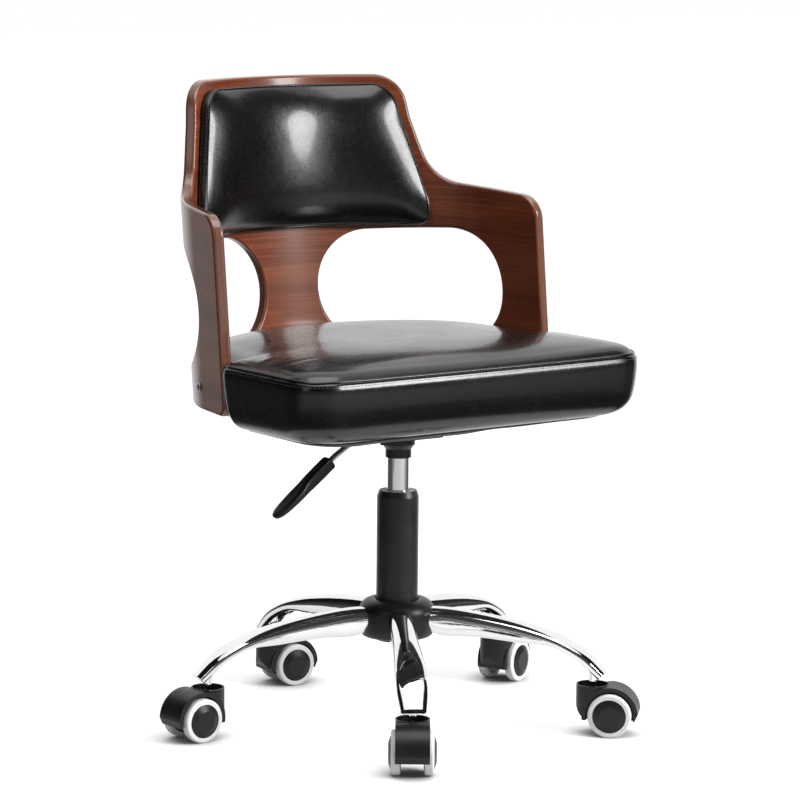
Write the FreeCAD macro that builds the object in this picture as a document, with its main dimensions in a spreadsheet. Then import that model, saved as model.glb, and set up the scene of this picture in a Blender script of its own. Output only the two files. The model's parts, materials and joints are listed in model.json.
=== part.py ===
import FreeCAD, Part
import math
import os

from FreeCAD import Base, Placement, Rotation, Vector

# Office chair with a bent plywood shell, a five-leg base on casters and a gas lift.
# The frame has +Z up, the floor at Z = 0 and the column on the Z axis.
# The chair faces -Y. Lengths are in millimetres, angles in degrees.

doc = FreeCAD.newDocument("OfficeChair")

# Driving dimensions

SIZES = {
    # general fits
    "fit_gap": 0.05,
    "loose_gap": 0.3,
    "cut_over": 5.0,
    # column
    "tube_outer": 50.0,
    "tube_wall": 2.0,
    "tube_base_z": 100.0,
    "tube_height": 181.0,
    "tube_floor": 3.0,
    "rim_drop": 7.0,
    "rim_inset": 2.5,
    "rim_lip": 4.5,
    "bush_length": 67.0,
    "bush_proud": 0.5,
    # gas lift
    "cylinder_outer": 27.0,
    "cylinder_wall": 2.0,
    "cylinder_foot_z": 165.0,
    "cylinder_top_z": 352.0,
    "cylinder_cap": 6.0,
    "cylinder_head": 17.0,
    "taper_length": 27.0,
    "taper_drop": 1.0,
    "rod_outer": 10.0,
    "rod_neck": 8.0,
    "piston_length": 12.0,
    "piston_gap": 2.0,
    "lift_up": 65.0,
    "pin_outer": 6.0,
    "pin_lead": 2.0,
    "washer_outer": 24.0,
    "washer_thick": 2.0,
    "ball_outer": 4.0,
    "ball_circle": 17.0,
    "clip_outer": 14.0,
    "clip_thick": 1.5,
    "clip_groove": 0.8,
    "clip_mouth": 6.0,
    "rod_tail": 2.0,
    # hub
    "ring_height": 39.0,
    "ring_base_z": 107.0,
    "cover_outer": 92.0,
    "cover_wall": 2.5,
    "cover_base_z": 105.0,
    "cover_top_z": 150.0,
    "cover_foot_outer": 78.0,
    "cover_foot_height": 14.0,
    "cover_neck_gap": 1.5,
    "cover_shoulder": 17.0,
    "arch_gap": 1.0,
    # legs
    "leg_first_angle": 238.6,
    "leg_start": 30.0,
    "leg_reach": 251.5,
    "leg_root_z": 126.0,
    "leg_drop": 55.5,
    "leg_height": 32.0,
    "leg_width": 31.0,
    "leg_wall": 2.0,
    "leg_slot_width": 20.0,
    "sleeve_wall": 3.0,
    "sleeve_foot_z": 76.0,
    # casters
    "stem_circle": 240.0,
    "stem_outer": 10.0,
    "stem_depth": 83.0,
    "stem_foot_z": 23.0,
    "wheel_radius": 26.0,
    "trail": 22.0,
    "tread_width": 11.0,
    "tread_inner": 13.6,
    "tread_hub_radius": 20.0,
    "tread_round": 2.5,
    "disc_lip": 0.6,
    "disc_dome": 3.0,
    "disc_dome_radius": 12.0,
    "axle_outer": 8.0,
    "axle_length": 46.0,
    "axle_recess": 0.3,
    "hood_outer": 39.5,
    "hood_top_z": 60.0,
    "hood_foot_z": 19.5,
    "chin_z": 39.0,
    "toe_back": 29.5,
    "toe_angle": 25.0,
    "cup_inner": 36.0,
    "cup_floor_z": 42.0,
    "fender_outer": 33.5,
    "fender_wall": 5.0,
    "fender_roof": 2.5,
    "web_width": 25.0,
    "caster_turn_1_angle": -4.6,
    "caster_turn_2_angle": 5.0,
    "caster_turn_3_angle": 1.4,
    "caster_turn_4_angle": -98.4,
    "caster_turn_5_angle": 17.2,
    # seat carrier
    "plate_length": 170.0,
    "plate_width": 130.0,
    "plate_thick": 3.0,
    "channel_length": 84.0,
    "channel_width": 70.0,
    "channel_wall": 2.5,
    "channel_depth": 26.0,
    "ear_drop": 5.0,
    "collar_foot_z": 321.0,
    "collar_outer": 31.0,
    "collar_step": 10.0,
    "collar_flare": 6.0,
    "collar_wide": 40.0,
    "collar_top_gap": 2.0,
    "bolt_outer": 6.0,
    "bolt_head": 10.0,
    "bolt_head_height": 4.0,
    "bolt_spread_x": 130.0,
    "bolt_spread_y": 90.0,
    "bolt_proud": 1.5,
    "tee_outer": 8.0,
    "tee_flange": 18.0,
    "tee_flange_thick": 1.2,
    # lever
    "lever_rod_outer": 7.5,
    "lever_pivot_x": 45.0,
    "lever_pivot_y": 30.0,
    "lever_pivot_z": 352.0,
    "lever_finger_rise": 11.5,
    "lever_finger_gap": 1.2,
    "lever_inner_run": 17.0,
    "lever_inner_rise": 2.0,
    "lever_run_1": 44.0,
    "lever_fall_1": 2.0,
    "lever_run_2": 24.0,
    "lever_fall_2": 14.0,
    "lever_run_3": 37.0,
    "lever_fall_3": 28.0,
    "lever_eye_outer": 12.0,
    "lever_eye_width": 10.0,
    "lever_pin_outer": 5.0,
    "ear_thick": 3.0,
    "ear_gap": 0.4,
    "ear_reach": 17.0,
    "lever_slot_room": 5.0,
    "lever_slot_reach": 22.0,
    "handle_start": 9.0,
    "handle_block": 42.0,
    "handle_length": 97.0,
    "handle_width": 15.0,
    "handle_thick": 14.0,
    "handle_tongue_width": 22.0,
    "handle_tongue_thick": 11.0,
    "handle_tip_thick": 8.0,
    "handle_round": 2.0,
    # shell
    "back_radius": 263.5,
    "back_angle": 36.0,
    "side_radius": 151.9,
    "side_angle": 79.1,
    "back_face_y": 168.4,
    "lean_angle": 6.8,
    "shell_thick": 14.3,
    "shell_edge_round": 3.0,
    "shell_top_z": 759.0,
    "shell_foot_z": 386.0,
    "shell_top_half": 157.0,
    "shell_top_round": 26.0,
    "shell_waist_half": 163.0,
    "shell_waist_z": 728.0,
    "shell_waist_round": 60.0,
    "shoulder_half": 178.0,
    "shoulder_z": 674.0,
    "shoulder_round": 60.0,
    "armpit_half": 194.0,
    "armpit_z": 630.0,
    "armpit_round": 50.0,
    "arm_rise_half": 250.0,
    "arm_rise_z": 624.0,
    "arm_rise_round": 200.0,
    "arm_end_half": 345.5,
    "arm_end_z": 617.0,
    "arm_end_round": 37.0,
    "arm_foot_half": 343.0,
    "arm_foot_round": 14.0,
    "oval_centre_half": 160.0,
    "oval_centre_z": 500.0,
    "oval_width": 240.0,
    "oval_height": 138.0,
    "oval_tilt_angle": 1.3,
    # shell fixings
    "screw_z": 412.0,
    "side_screw_half": 271.0,
    "rear_screw_half": 40.0,
    "screw_outer": 5.0,
    "screw_head": 11.0,
    "screw_head_height": 2.5,
    "screw_bite": 16.0,
    "back_screw_half": 100.0,
    "back_screw_low_z": 630.0,
    "back_screw_high_z": 705.0,
    "back_screw_outer": 4.0,
    "back_screw_head": 9.0,
    "back_screw_head_height": 2.0,
    # seat
    "seat_past_arm": 184.7,
    "seat_half_width": 248.0,
    "seat_corner_round": 45.0,
    "seat_foot_z": 373.0,
    "seat_seam_z": 447.0,
    "seat_crown_height": 19.0,
    "seat_crown_run": 120.0,
    "seat_tuck": 26.0,
    "seat_shell_gap": 0.8,
    "seat_arm_gap": 2.0,
    "board_rise": 3.0,
    "board_thick": 12.0,
    "board_inset": 32.0,
    "batten_height": 40.0,
    "side_batten_length": 60.0,
    "side_batten_thick": 32.0,
    "side_batten_inset": 18.0,
    "rear_batten_length": 100.0,
    "rear_batten_thick": 34.0,
    "rear_batten_inset": 20.0,
    "cover_sheet": 1.2,
    "cover_sheet_gap": 0.2,
    "cover_sheet_inset": 2.0,
    "cover_window_gap": 1.0,
    # back cushion
    "pad_gap": 1.5,
    "pad_foot_z": 576.0,
    "pad_height": 170.0,
    "pad_half_width": 188.0,
    "pad_thick": 31.0,
    "pad_edge_thick": 20.0,
    "back_board_half": 140.0,
    "back_board_foot_z": 605.0,
    "back_board_height": 115.0,
    "back_board_thick": 5.0,
    "back_board_gap": 2.5,
}


class Size:
    """A size and the sheet expression that gives it."""

    def __init__(self, value, text):
        self.value = float(value)
        self.text = text

    def __float__(self):
        return self.value

    def __add__(self, other):
        return join(self, "+", other)

    def __radd__(self, other):
        return join(other, "+", self)

    def __sub__(self, other):
        return join(self, "-", other)

    def __rsub__(self, other):
        return join(other, "-", self)

    def __mul__(self, other):
        return join(self, "*", other)

    def __rmul__(self, other):
        return join(other, "*", self)

    def __truediv__(self, other):
        return join(self, "/", other)

    def __neg__(self):
        return join(0, "-", self)


def as_size(number):
    if isinstance(number, Size):
        return number
    return Size(number, repr(float(number)))


def join(first, sign, second):
    first, second = as_size(first), as_size(second)
    results = {
        "+": first.value + second.value,
        "-": first.value - second.value,
        "*": first.value * second.value,
        "/": first.value / second.value if second.value else 0.0,
    }
    return Size(results[sign], "(" + first.text + " " + sign + " " + second.text + ")")


class Sheet:
    """The spreadsheet of driving dimensions, read by name."""

    def __init__(self, sizes):
        self.table = doc.addObject("Spreadsheet::Sheet", "Sizes")
        for row, (name, value) in enumerate(sizes.items(), start=1):
            self.table.set("A" + str(row), name)
            self.table.set("B" + str(row), str(value))
            self.table.setAlias("B" + str(row), name)
        doc.recompute()
        for name in sizes:
            setattr(self, name, Size(self.table.get(name), "Sizes." + name))


z = Sheet(SIZES)

SUBPARTS = []


def keep(item, label, placement=Placement()):
    """Make an object a sub-part of the chair."""
    item.Label = label
    item.Placement = placement
    SUBPARTS.append(item)
    return item


# Sketch and body helpers

def bind(item, **sizes):
    for name, size in sizes.items():
        setattr(item, name, as_size(size).value)
        item.setExpression(name, as_size(size).text)


def pin_point(sketch, line, point):
    """Hold the start of a line at a point given by two sizes."""
    for kind, axis, size in (("DistanceX", -2, point[0]), ("DistanceY", -1, point[1])):
        size = as_size(size)
        if size.value == 0:
            sketch.addConstraint(Sketcher.Constraint("PointOnObject", line, 1, axis))
            continue
        index = sketch.addConstraint(
            Sketcher.Constraint(kind, -1, 1, line, 1, size.value))
        sketch.setExpression("Constraints[" + str(index) + "]", size.text)


def origin_feature(body, role):
    return next(feature for feature in body.Origin.OriginFeatures if feature.Role == role)


def new_sketch(body, name, plane):
    sketch = body.newObject("Sketcher::SketchObject", name)
    sketch.AttachmentSupport = [(origin_feature(body, plane), "")]
    sketch.MapMode = "FlatFace"
    return sketch


def outline_sketch(body, name, plane, points):
    """A closed outline of straight lines through points of two sizes each."""
    sketch = new_sketch(body, name, plane)
    corners = [Vector(float(a), float(b), 0) for a, b in points]
    for start, end in zip(corners, corners[1:] + corners[:1]):
        sketch.addGeometry(Part.LineSegment(start, end), False)
    count = len(points)
    for line in range(count):
        sketch.addConstraint(
            Sketcher.Constraint("Coincident", line, 2, (line + 1) % count, 1))
    for line, point in enumerate(points):
        pin_point(sketch, line, point)
    return sketch


def turned_body(label, points, placement=Placement()):
    """A body of revolution about its own Z axis; points are radius and height."""
    body = doc.addObject("PartDesign::Body", label)
    profile = outline_sketch(body, label + "_profile", "XZ_Plane", points)
    turn = body.newObject("PartDesign::Revolution", label + "_turn")
    turn.Profile = profile
    turn.ReferenceAxis = (profile, ["V_Axis"])
    turn.Angle = 360
    body.Tip = turn
    return keep(body, label, placement)


def round_edges(body, radius, chosen):
    """Round the edges of a body's last feature that pass a test."""
    doc.recompute()
    base = body.Tip
    names = ["Edge" + str(number) for number, edge in enumerate(base.Shape.Edges, start=1)
             if chosen(edge)]
    fillet = body.newObject("PartDesign::Fillet", body.Name + "_round")
    fillet.Base = (base, names)
    bind(fillet, Radius=radius)
    body.Tip = fillet


def cylinder(name, radius, height, at, turn=Rotation()):
    item = doc.addObject("Part::Cylinder", name)
    bind(item, Radius=radius, Height=height)
    return place(item, at, turn)


def cone(name, low, high, height, at):
    item = doc.addObject("Part::Cone", name)
    bind(item, Radius1=low, Radius2=high, Height=height)
    return place(item, at)


def block(name, size, at, turn=Rotation()):
    """A box centred on X and Y at a point, standing on its height and turned about its low corner."""
    item = doc.addObject("Part::Box", name)
    bind(item, Length=size[0], Width=size[1], Height=size[2])
    corner = (at[0] - size[0] / 2, at[1] - size[1] / 2, at[2])
    return place(item, corner, turn)


def place(item, at, turn=Rotation()):
    item.Placement = Placement(Vector(*(float(size) for size in at)), turn)
    for axis, size in zip("xyz", at):
        item.setExpression("Placement.Base." + axis, as_size(size).text)
    return item


def fuse(name, items):
    item = doc.addObject("Part::MultiFuse", name)
    item.Shapes = items
    return item


def common(name, items):
    item = doc.addObject("Part::MultiCommon", name)
    item.Shapes = items
    return item


def cut(name, base, tools):
    item = doc.addObject("Part::Cut", name)
    item.Base = base
    item.Tool = tools[0] if len(tools) == 1 else fuse(name + "_tools", tools)
    return item


def shaped(label, shape, placement=Placement()):
    """A sub-part whose shape is worked out here from the sheet."""
    item = doc.addObject("Part::Feature", label)
    item.Shape = shape
    return keep(item, label, placement)


def group(solids):
    return Part.makeCompound(solids)


import Sketcher

# Column

def column_tube():
    outer = z.tube_outer / 2
    inner = outer - z.tube_wall
    top = z.tube_base_z + z.tube_height
    turned_body("column_tube", [
        (z.rod_neck / 2 + z.fit_gap, z.tube_base_z),
        (outer, z.tube_base_z),
        (outer, top - z.rim_drop),
        (outer - z.rim_inset, top),
        (outer - z.rim_lip, top),
        (outer - z.rim_lip, top - z.rim_inset),
        (inner, top - z.rim_inset * 2),
        (inner, z.tube_base_z + z.tube_floor),
        (z.rod_neck / 2 + z.fit_gap, z.tube_base_z + z.tube_floor),
    ])


def column_bush():
    bore = z.cylinder_outer / 2 + z.fit_gap
    outer = z.tube_outer / 2 - z.tube_wall - z.fit_gap
    neck = z.tube_outer / 2 - z.rim_lip - z.fit_gap
    top = z.tube_base_z + z.tube_height
    shoulder = top - z.rim_inset * 2 - z.fit_gap * 2
    turned_body("column_bush", [
        (bore, top - z.bush_length),
        (outer, top - z.bush_length),
        (outer, shoulder),
        (neck, shoulder + z.rim_inset),
        (neck, top + z.bush_proud),
        (bore, top + z.bush_proud),
    ])


def gas_cylinder():
    outer = z.cylinder_outer / 2
    inner = outer - z.cylinder_wall
    rod_bore = z.rod_outer / 2 + z.fit_gap
    pin_bore = z.pin_outer / 2 + z.fit_gap
    cap_top = z.cylinder_foot_z + z.cylinder_cap
    head = z.cylinder_top_z - z.cylinder_head
    turned_body("gas_cylinder", [
        (rod_bore, z.cylinder_foot_z),
        (outer, z.cylinder_foot_z),
        (outer, z.cylinder_top_z - z.taper_length),
        (outer - z.taper_drop, z.cylinder_top_z),
        (pin_bore, z.cylinder_top_z),
        (pin_bore, head),
        (inner, head),
        (inner, cap_top),
        (rod_bore, cap_top),
    ])


def thrust_stack_top():
    """Top of the bearing that carries the piston rod."""
    return z.tube_base_z + z.tube_floor + z.washer_thick * 2 + z.ball_outer + z.fit_gap * 3


def piston_rod():
    neck = z.rod_neck / 2
    rod = z.rod_outer / 2
    piston = z.cylinder_outer / 2 - z.cylinder_wall - z.fit_gap
    shoulder = thrust_stack_top() + z.fit_gap
    groove_top = z.tube_base_z - z.fit_gap
    groove_foot = groove_top - z.clip_thick - z.fit_gap * 2
    piston_foot = z.cylinder_foot_z + z.cylinder_cap + z.lift_up + z.piston_gap
    groove = neck - z.clip_groove
    tail = groove_foot - z.rod_tail
    turned_body("piston_rod", [
        (0, tail),
        (neck, tail),
        (neck, groove_foot),
        (groove, groove_foot),
        (groove, groove_top),
        (neck, groove_top),
        (neck, shoulder),
        (rod, shoulder),
        (rod, piston_foot),
        (piston, piston_foot),
        (piston, piston_foot + z.piston_length),
        (0, piston_foot + z.piston_length),
    ])


def rod_clip():
    foot = z.tube_base_z - z.fit_gap * 2 - z.clip_thick
    inner = z.rod_neck / 2 - z.clip_groove + z.fit_gap
    ring = cylinder("clip_disc", z.clip_outer / 2, z.clip_thick, (0, 0, foot))
    bore = cylinder("clip_bore", inner, z.clip_thick + z.cut_over * 2, (0, 0, foot - z.cut_over))
    mouth = block("clip_mouth", (z.clip_outer, z.clip_mouth, z.clip_thick + z.cut_over * 2),
                  (z.clip_outer / 2, 0, foot - z.cut_over))
    keep(cut("rod_clip", ring, [bore, mouth]), "rod_clip")


def thrust_bearing():
    """Two washers with a ring of balls between them."""
    bore = float(z.rod_neck / 2 + z.fit_gap)
    outer = float(z.washer_outer / 2)
    thick = float(z.washer_thick)
    ball = float(z.ball_outer)
    gap = float(z.fit_gap)
    low = float(z.tube_base_z + z.tube_floor)
    high = low + thick + ball + gap * 2
    solids = []
    for foot in (low, high):
        washer = Part.makeCylinder(outer, thick, Vector(0, 0, foot))
        hole = Part.makeCylinder(bore, thick, Vector(0, 0, foot))
        solids.append(washer.cut(hole))
    circle = float(z.ball_circle / 2)
    count = 10
    for number in range(count):
        turn = math.radians(360 * number / count)
        centre = Vector(circle * math.cos(turn), circle * math.sin(turn), low + thick + gap + ball / 2)
        solids.append(Part.makeSphere(ball / 2, centre))
    shaped("thrust_bearing", group(solids))


def valve_pin():
    """The pin that the lever's finger presses down into the cylinder."""
    radius = z.pin_outer / 2
    finger = z.lever_pivot_z + z.lever_finger_rise - z.lever_rod_outer / 2
    top = finger - z.lever_finger_gap
    turned_body("valve_pin", [
        (0, z.cylinder_top_z - z.cylinder_head + z.pin_lead),
        (radius, z.cylinder_top_z - z.cylinder_head + z.pin_lead),
        (radius, top),
        (0, top),
    ])


# Hub and legs

CASTER_TURNS = [z.caster_turn_1_angle, z.caster_turn_2_angle, z.caster_turn_3_angle,
                z.caster_turn_4_angle, z.caster_turn_5_angle]
LEG_COUNT = len(CASTER_TURNS)
LEG_STEP = 360 / LEG_COUNT

# Along a leg: share of its run, share of its drop, and shares of its height and width
LEG_SHARES = [
    (0.000, 0.000, 1.00, 1.00),
    (0.090, 0.009, 1.02, 1.00),
    (0.271, 0.045, 0.97, 1.02),
    (0.460, 0.117, 0.84, 1.05),
    (0.610, 0.198, 0.69, 1.11),
    (0.736, 0.297, 0.48, 1.17),
    (0.826, 0.450, 0.44, 1.19),
    (0.907, 0.649, 0.43, 1.16),
    (0.953, 0.820, 0.41, 1.08),
    (0.988, 0.955, 0.39, 0.99),
    (1.000, 1.000, 0.38, 0.96),
]
ROUND_SHARES = [number / 16 for number in range(16)]
LEG_SQUARE_SHARE = 0.8
LEG_SLOT_SHARE = 0.736


def hub_ring():
    inner = z.tube_outer / 2 + z.fit_gap
    outer = z.leg_start - z.loose_gap * 2
    top = z.ring_base_z + z.ring_height
    turned_body("hub_ring", [
        (inner, z.ring_base_z),
        (outer, z.ring_base_z),
        (outer, top),
        (inner, top),
    ])


# Round the hub cover's shoulder: shares of its rise and of how far it has drawn in
DOME_SHARES = [(0.00, 0.00), (0.38, 0.08), (0.71, 0.29), (0.92, 0.62), (1.00, 1.00)]


def dome_wall(outer, top, shoulder, foot, base, rise):
    """The side of the hub cover from its foot up to its flat top."""
    low = [(outer - (outer - foot) * draw, base + rise - rise * up)
           for up, draw in reversed(DOME_SHARES)]
    high = [(outer - shoulder * draw, top - shoulder + shoulder * up) for up, draw in DOME_SHARES]
    return low + high


def hub_cover():
    """A dome round the column with an arch over each leg."""
    outer = z.cover_outer / 2
    foot = z.cover_foot_outer / 2
    neck = z.tube_outer / 2 + z.cover_neck_gap
    wall = z.cover_wall
    base, rise = z.cover_base_z, z.cover_foot_height
    outside = dome_wall(outer, z.cover_top_z, z.cover_shoulder, foot, base, rise)
    inside = dome_wall(outer - wall, z.cover_top_z - wall, z.cover_shoulder - wall, foot - wall,
                       base, rise)
    top = [(neck, z.cover_top_z), (neck, z.cover_top_z - wall)]
    turn = Rotation(Vector(0, 0, 1), float(z.leg_first_angle))
    body = turned_body("hub_cover", outside + top + inside[::-1], Placement(Vector(0, 0, 0), turn))
    doc.recompute()
    whole = body.Shape.Volume
    arch = arch_sketch(body)
    pocket = body.newObject("PartDesign::Pocket", "hub_cover_arch")
    pocket.Profile = arch
    pocket.Reversed = True
    bind(pocket, Length=z.cover_outer / 2 + z.cut_over)
    body.Tip = pocket
    doc.recompute()
    pattern = body.newObject("PartDesign::PolarPattern", "hub_cover_arches")
    pattern.Originals = [pocket]
    pattern.Axis = (origin_feature(body, "Z_Axis"), [""])
    pattern.Angle = 360
    pattern.Occurrences = LEG_COUNT
    body.Tip = pattern
    doc.recompute()
    if not body.Shape.Volume < pocket.Shape.Volume < whole:
        raise ValueError("the arches did not cut the hub cover")


def arch_sketch(body):
    """The outline of a leg's arch, looking along the leg."""
    radius = z.leg_height / 2 + z.arch_gap
    foot = z.cover_base_z - z.cut_over
    sketch = new_sketch(body, "hub_cover_arch_outline", "YZ_Plane")
    reach, low, high = float(radius), float(foot), float(z.leg_root_z)
    circle = Part.Circle(Vector(0, high, 0), Vector(0, 0, 1), reach)
    sketch.addGeometry(Part.ArcOfCircle(circle, 0, math.pi), False)
    corners = [Vector(-reach, high, 0), Vector(-reach, low, 0),
               Vector(reach, low, 0), Vector(reach, high, 0)]
    for start, end in zip(corners, corners[1:]):
        sketch.addGeometry(Part.LineSegment(start, end), False)
    for kind in (("Tangent", 0, 2, 1, 1), ("Coincident", 1, 2, 2, 1),
                 ("Coincident", 2, 2, 3, 1), ("Tangent", 3, 2, 0, 1),
                 ("Vertical", 1), ("Vertical", 3), ("Horizontal", 2),
                 ("PointOnObject", 0, 3, -2)):
        sketch.addConstraint(Sketcher.Constraint(*kind))
    for kind, size in ((("Radius", 0), radius),
                       (("DistanceY", -1, 1, 0, 3), z.leg_root_z),
                       (("DistanceY", -1, 1, 1, 2), foot)):
        index = sketch.addConstraint(Sketcher.Constraint(*kind, float(size)))
        sketch.setExpression("Constraints[" + str(index) + "]", size.text)
    return sketch


def leg_section(centre, along, width, height):
    """A closed curve between an oval and a box, square to a direction in the XZ plane."""
    across = Vector(0, 1, 0)
    up = across.cross(along)
    if up.z < 0:
        up = up.negative()
    points = []
    for share in ROUND_SHARES:
        turn = share * math.pi * 2
        flat, tall = math.cos(turn), math.sin(turn)
        side = math.copysign(abs(flat) ** LEG_SQUARE_SHARE, flat) * width / 2
        rise = math.copysign(abs(tall) ** LEG_SQUARE_SHARE, tall) * height / 2
        points.append(centre + across * side + up * rise)
    curve = Part.BSplineCurve()
    curve.interpolate(Points=points, PeriodicFlag=True)
    return Part.Wire([curve.toShape()])


def leg_places():
    run = float(z.leg_reach - z.leg_start)
    return [Vector(float(z.leg_start) + along * run, 0, float(z.leg_root_z) - drop * float(z.leg_drop))
            for along, drop, _, _ in LEG_SHARES]


def leg_sections(inset, count):
    """Slices of the leg, drawn in by an inset."""
    places = leg_places()
    wires = []
    for number in range(count):
        before = places[max(number - 1, 0)]
        after = places[min(number + 1, len(places) - 1)]
        along = (after - before).normalize()
        height = LEG_SHARES[number][2] * float(z.leg_height) - inset * 2
        width = LEG_SHARES[number][3] * float(z.leg_width) - inset * 2
        wires.append(leg_section(places[number], along, width, height))
    return wires


def leg_slot():
    """Room under the bent end, round at its inner end, with a roof along the leg's middle."""
    half = float(z.leg_slot_width) / 2
    roof = [spot for spot, row in zip(leg_places(), LEG_SHARES) if row[0] >= LEG_SLOT_SHARE][:-1]
    start, end = roof[0], roof[-1]
    profile = [Vector(start.x, -half, 0)]
    profile += [Vector(spot.x, -half, spot.z) for spot in roof]
    profile += [Vector(end.x, -half, 0), profile[0]]
    trench = Part.Face(Part.makePolygon(profile)).extrude(Vector(0, half * 2, 0))
    return trench.fuse(Part.makeCylinder(half, start.z, Vector(start.x, 0, 0)))


def leg_sleeve():
    """The welded tube in the leg's end that takes the caster stem."""
    spot = Vector(float(z.stem_circle), 0, float(z.sleeve_foot_z))
    tall = float(z.leg_root_z) - float(z.sleeve_foot_z)
    tube = Part.makeCylinder(float(z.stem_outer / 2 + z.sleeve_wall), tall, spot)
    core = Part.makeLoft(leg_sections(float(z.leg_wall) / 2, len(LEG_SHARES)), True, False)
    return tube.common(core)


def leg_shape():
    """A flattened steel tube that bends down to the caster stem."""
    count = len(LEG_SHARES)
    skin = Part.makeLoft(leg_sections(0, count), True, False)
    hollow = Part.makeLoft(leg_sections(float(z.leg_wall), count - 1), True, False)
    bore = Part.makeCylinder(float(z.stem_outer / 2 + z.fit_gap), float(z.stem_depth - z.wheel_radius),
                             Vector(float(z.stem_circle), 0, float(z.wheel_radius)))
    return skin.cut(hollow).cut(leg_slot()).fuse(leg_sleeve()).cut(bore)


def leg_turn(number):
    return float(z.leg_first_angle) + number * LEG_STEP


def legs():
    shape = leg_shape()
    for number in range(LEG_COUNT):
        turn = Rotation(Vector(0, 0, 1), leg_turn(number))
        shaped("leg_" + str(number + 1), shape.copy(), Placement(Vector(0, 0, 0), turn))


# Casters

def stem_place(number):
    turn = math.radians(leg_turn(number))
    reach = float(z.stem_circle)
    return Vector(reach * math.cos(turn), reach * math.sin(turn), 0)


def caster_placement(number):
    """The stem stands at the origin and the wheels trail along +X."""
    turn = leg_turn(number) + float(CASTER_TURNS[number])
    return Placement(stem_place(number), Rotation(Vector(0, 0, 1), turn))


def axle_placement(number, side):
    """The axle lies along local Z, pointing out on one side."""
    tip = Rotation(Vector(1, 0, 0), -90 * side)
    local = Placement(Vector(float(z.trail), 0, float(z.wheel_radius)), tip)
    return caster_placement(number).multiply(local)


def caster_stems():
    solids = []
    radius = float(z.stem_outer / 2)
    foot = float(z.stem_foot_z)
    top = float(z.stem_depth - z.loose_gap)
    for number in range(LEG_COUNT):
        rod = Part.makeCylinder(radius, top - foot, stem_place(number) + Vector(0, 0, foot))
        ends = [edge for edge in rod.Edges if len(edge.Vertexes) == 1]
        solids.append(rod.makeChamfer(radius / 5, ends))
    shaped("caster_stems", group(solids))


def hood(number):
    """A neck cup, a fender over the wheels and a web that holds the axle."""
    name = "caster_" + str(number + 1) + "_hood"
    tall = z.hood_top_z - z.hood_foot_z
    half = z.hood_outer / 2
    sideways = Rotation(Vector(1, 0, 0), -90)
    neck = cylinder(name + "_neck", half, z.hood_top_z - z.chin_z, (0, 0, z.chin_z))
    chin = common(name + "_chin", [
        cylinder(name + "_chin_post", half, z.chin_z - z.hood_foot_z + z.loose_gap, (0, 0, z.hood_foot_z)),
        cylinder(name + "_chin_curve", half, z.hood_outer, (0, -half, z.chin_z), sideways),
    ])
    fender = cylinder(name + "_fender", z.fender_outer, z.hood_outer,
                      (z.trail, -half, z.wheel_radius), sideways)
    sole = block(name + "_sole", (z.fender_outer * 4, z.hood_outer * 2, z.wheel_radius * 2),
                 (z.trail, 0, z.hood_foot_z - z.wheel_radius * 2))
    well = z.fender_outer - z.fender_wall
    side = z.hood_outer - z.web_width
    wells = [cylinder(name + "_well_" + str(far), well, side,
                      (z.trail, far * (z.web_width / 2) - (0 if far > 0 else side), z.wheel_radius),
                      sideways) for far in (1, -1)]
    cup = cylinder(name + "_cup", z.cup_inner / 2, tall, (0, 0, z.cup_floor_z))
    roof = cylinder(name + "_roof", z.fender_outer - z.fender_roof, z.hood_outer,
                    (z.trail, -half, z.wheel_radius), sideways)
    bore = cylinder(name + "_bore", z.stem_outer / 2 + z.fit_gap, tall,
                    (0, 0, z.stem_foot_z - z.loose_gap))
    axle = cylinder(name + "_axle_bore", z.axle_outer / 2 + z.fit_gap, z.hood_outer,
                    (z.trail, -half, z.wheel_radius), sideways)
    toe = block(name + "_toe", (z.fender_outer, z.hood_outer * 2, z.fender_outer),
                (z.trail + z.toe_back + z.fender_outer / 2, 0, z.hood_foot_z),
                Rotation(Vector(0, 1, 0), float(z.toe_angle)))
    body = fuse(name + "_body", [neck, chin, fender])
    room = cut(name + "_room", cup, [roof])
    keep(cut(name, body, [sole, toe, room, bore, axle] + wells), name, caster_placement(number))


def axle(number):
    half = z.axle_length / 2
    name = "caster_" + str(number + 1) + "_axle"
    turned_body(name, [(0, -half), (z.axle_outer / 2, -half), (z.axle_outer / 2, half), (0, half)],
                axle_placement(number, 1))


def wheel(number, side, letter):
    """A white tread round a black disc with a domed cap."""
    name = "caster_" + str(number + 1)
    inner = z.tread_inner
    outer = z.tread_inner + z.tread_width
    seat = z.tread_hub_radius
    tread = turned_body(name + "_tread_" + letter, [
        (seat, inner), (z.wheel_radius, inner), (z.wheel_radius, outer), (seat, outer),
    ], axle_placement(number, side))
    limit = float(z.wheel_radius - z.fit_gap)
    round_edges(tread, z.tread_round,
                lambda edge: edge.Curve.TypeId == "Part::GeomCircle" and edge.Curve.Radius > limit)
    bore = z.axle_outer / 2 + z.fit_gap
    blind = z.axle_length / 2 + z.axle_recess
    disc = seat - z.fit_gap
    turned_body(name + "_disc_" + letter, [
        (bore, inner - z.disc_lip),
        (disc, inner - z.disc_lip),
        (disc, outer),
        (z.disc_dome_radius, outer + z.disc_dome),
        (0, outer + z.disc_dome),
        (0, blind),
        (bore, blind),
    ], axle_placement(number, side))


def casters():
    for number in range(LEG_COUNT):
        hood(number)
        axle(number)
        wheel(number, 1, "a")
        wheel(number, -1, "b")


# Seat carrier

def plate_foot_z():
    return z.seat_foot_z + z.board_rise - z.loose_gap / 3 - z.plate_thick


def bolt_places():
    half_x, half_y = z.bolt_spread_x / 2, z.bolt_spread_y / 2
    return [(half_x * across, half_y * along) for across in (1, -1) for along in (1, -1)]


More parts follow.
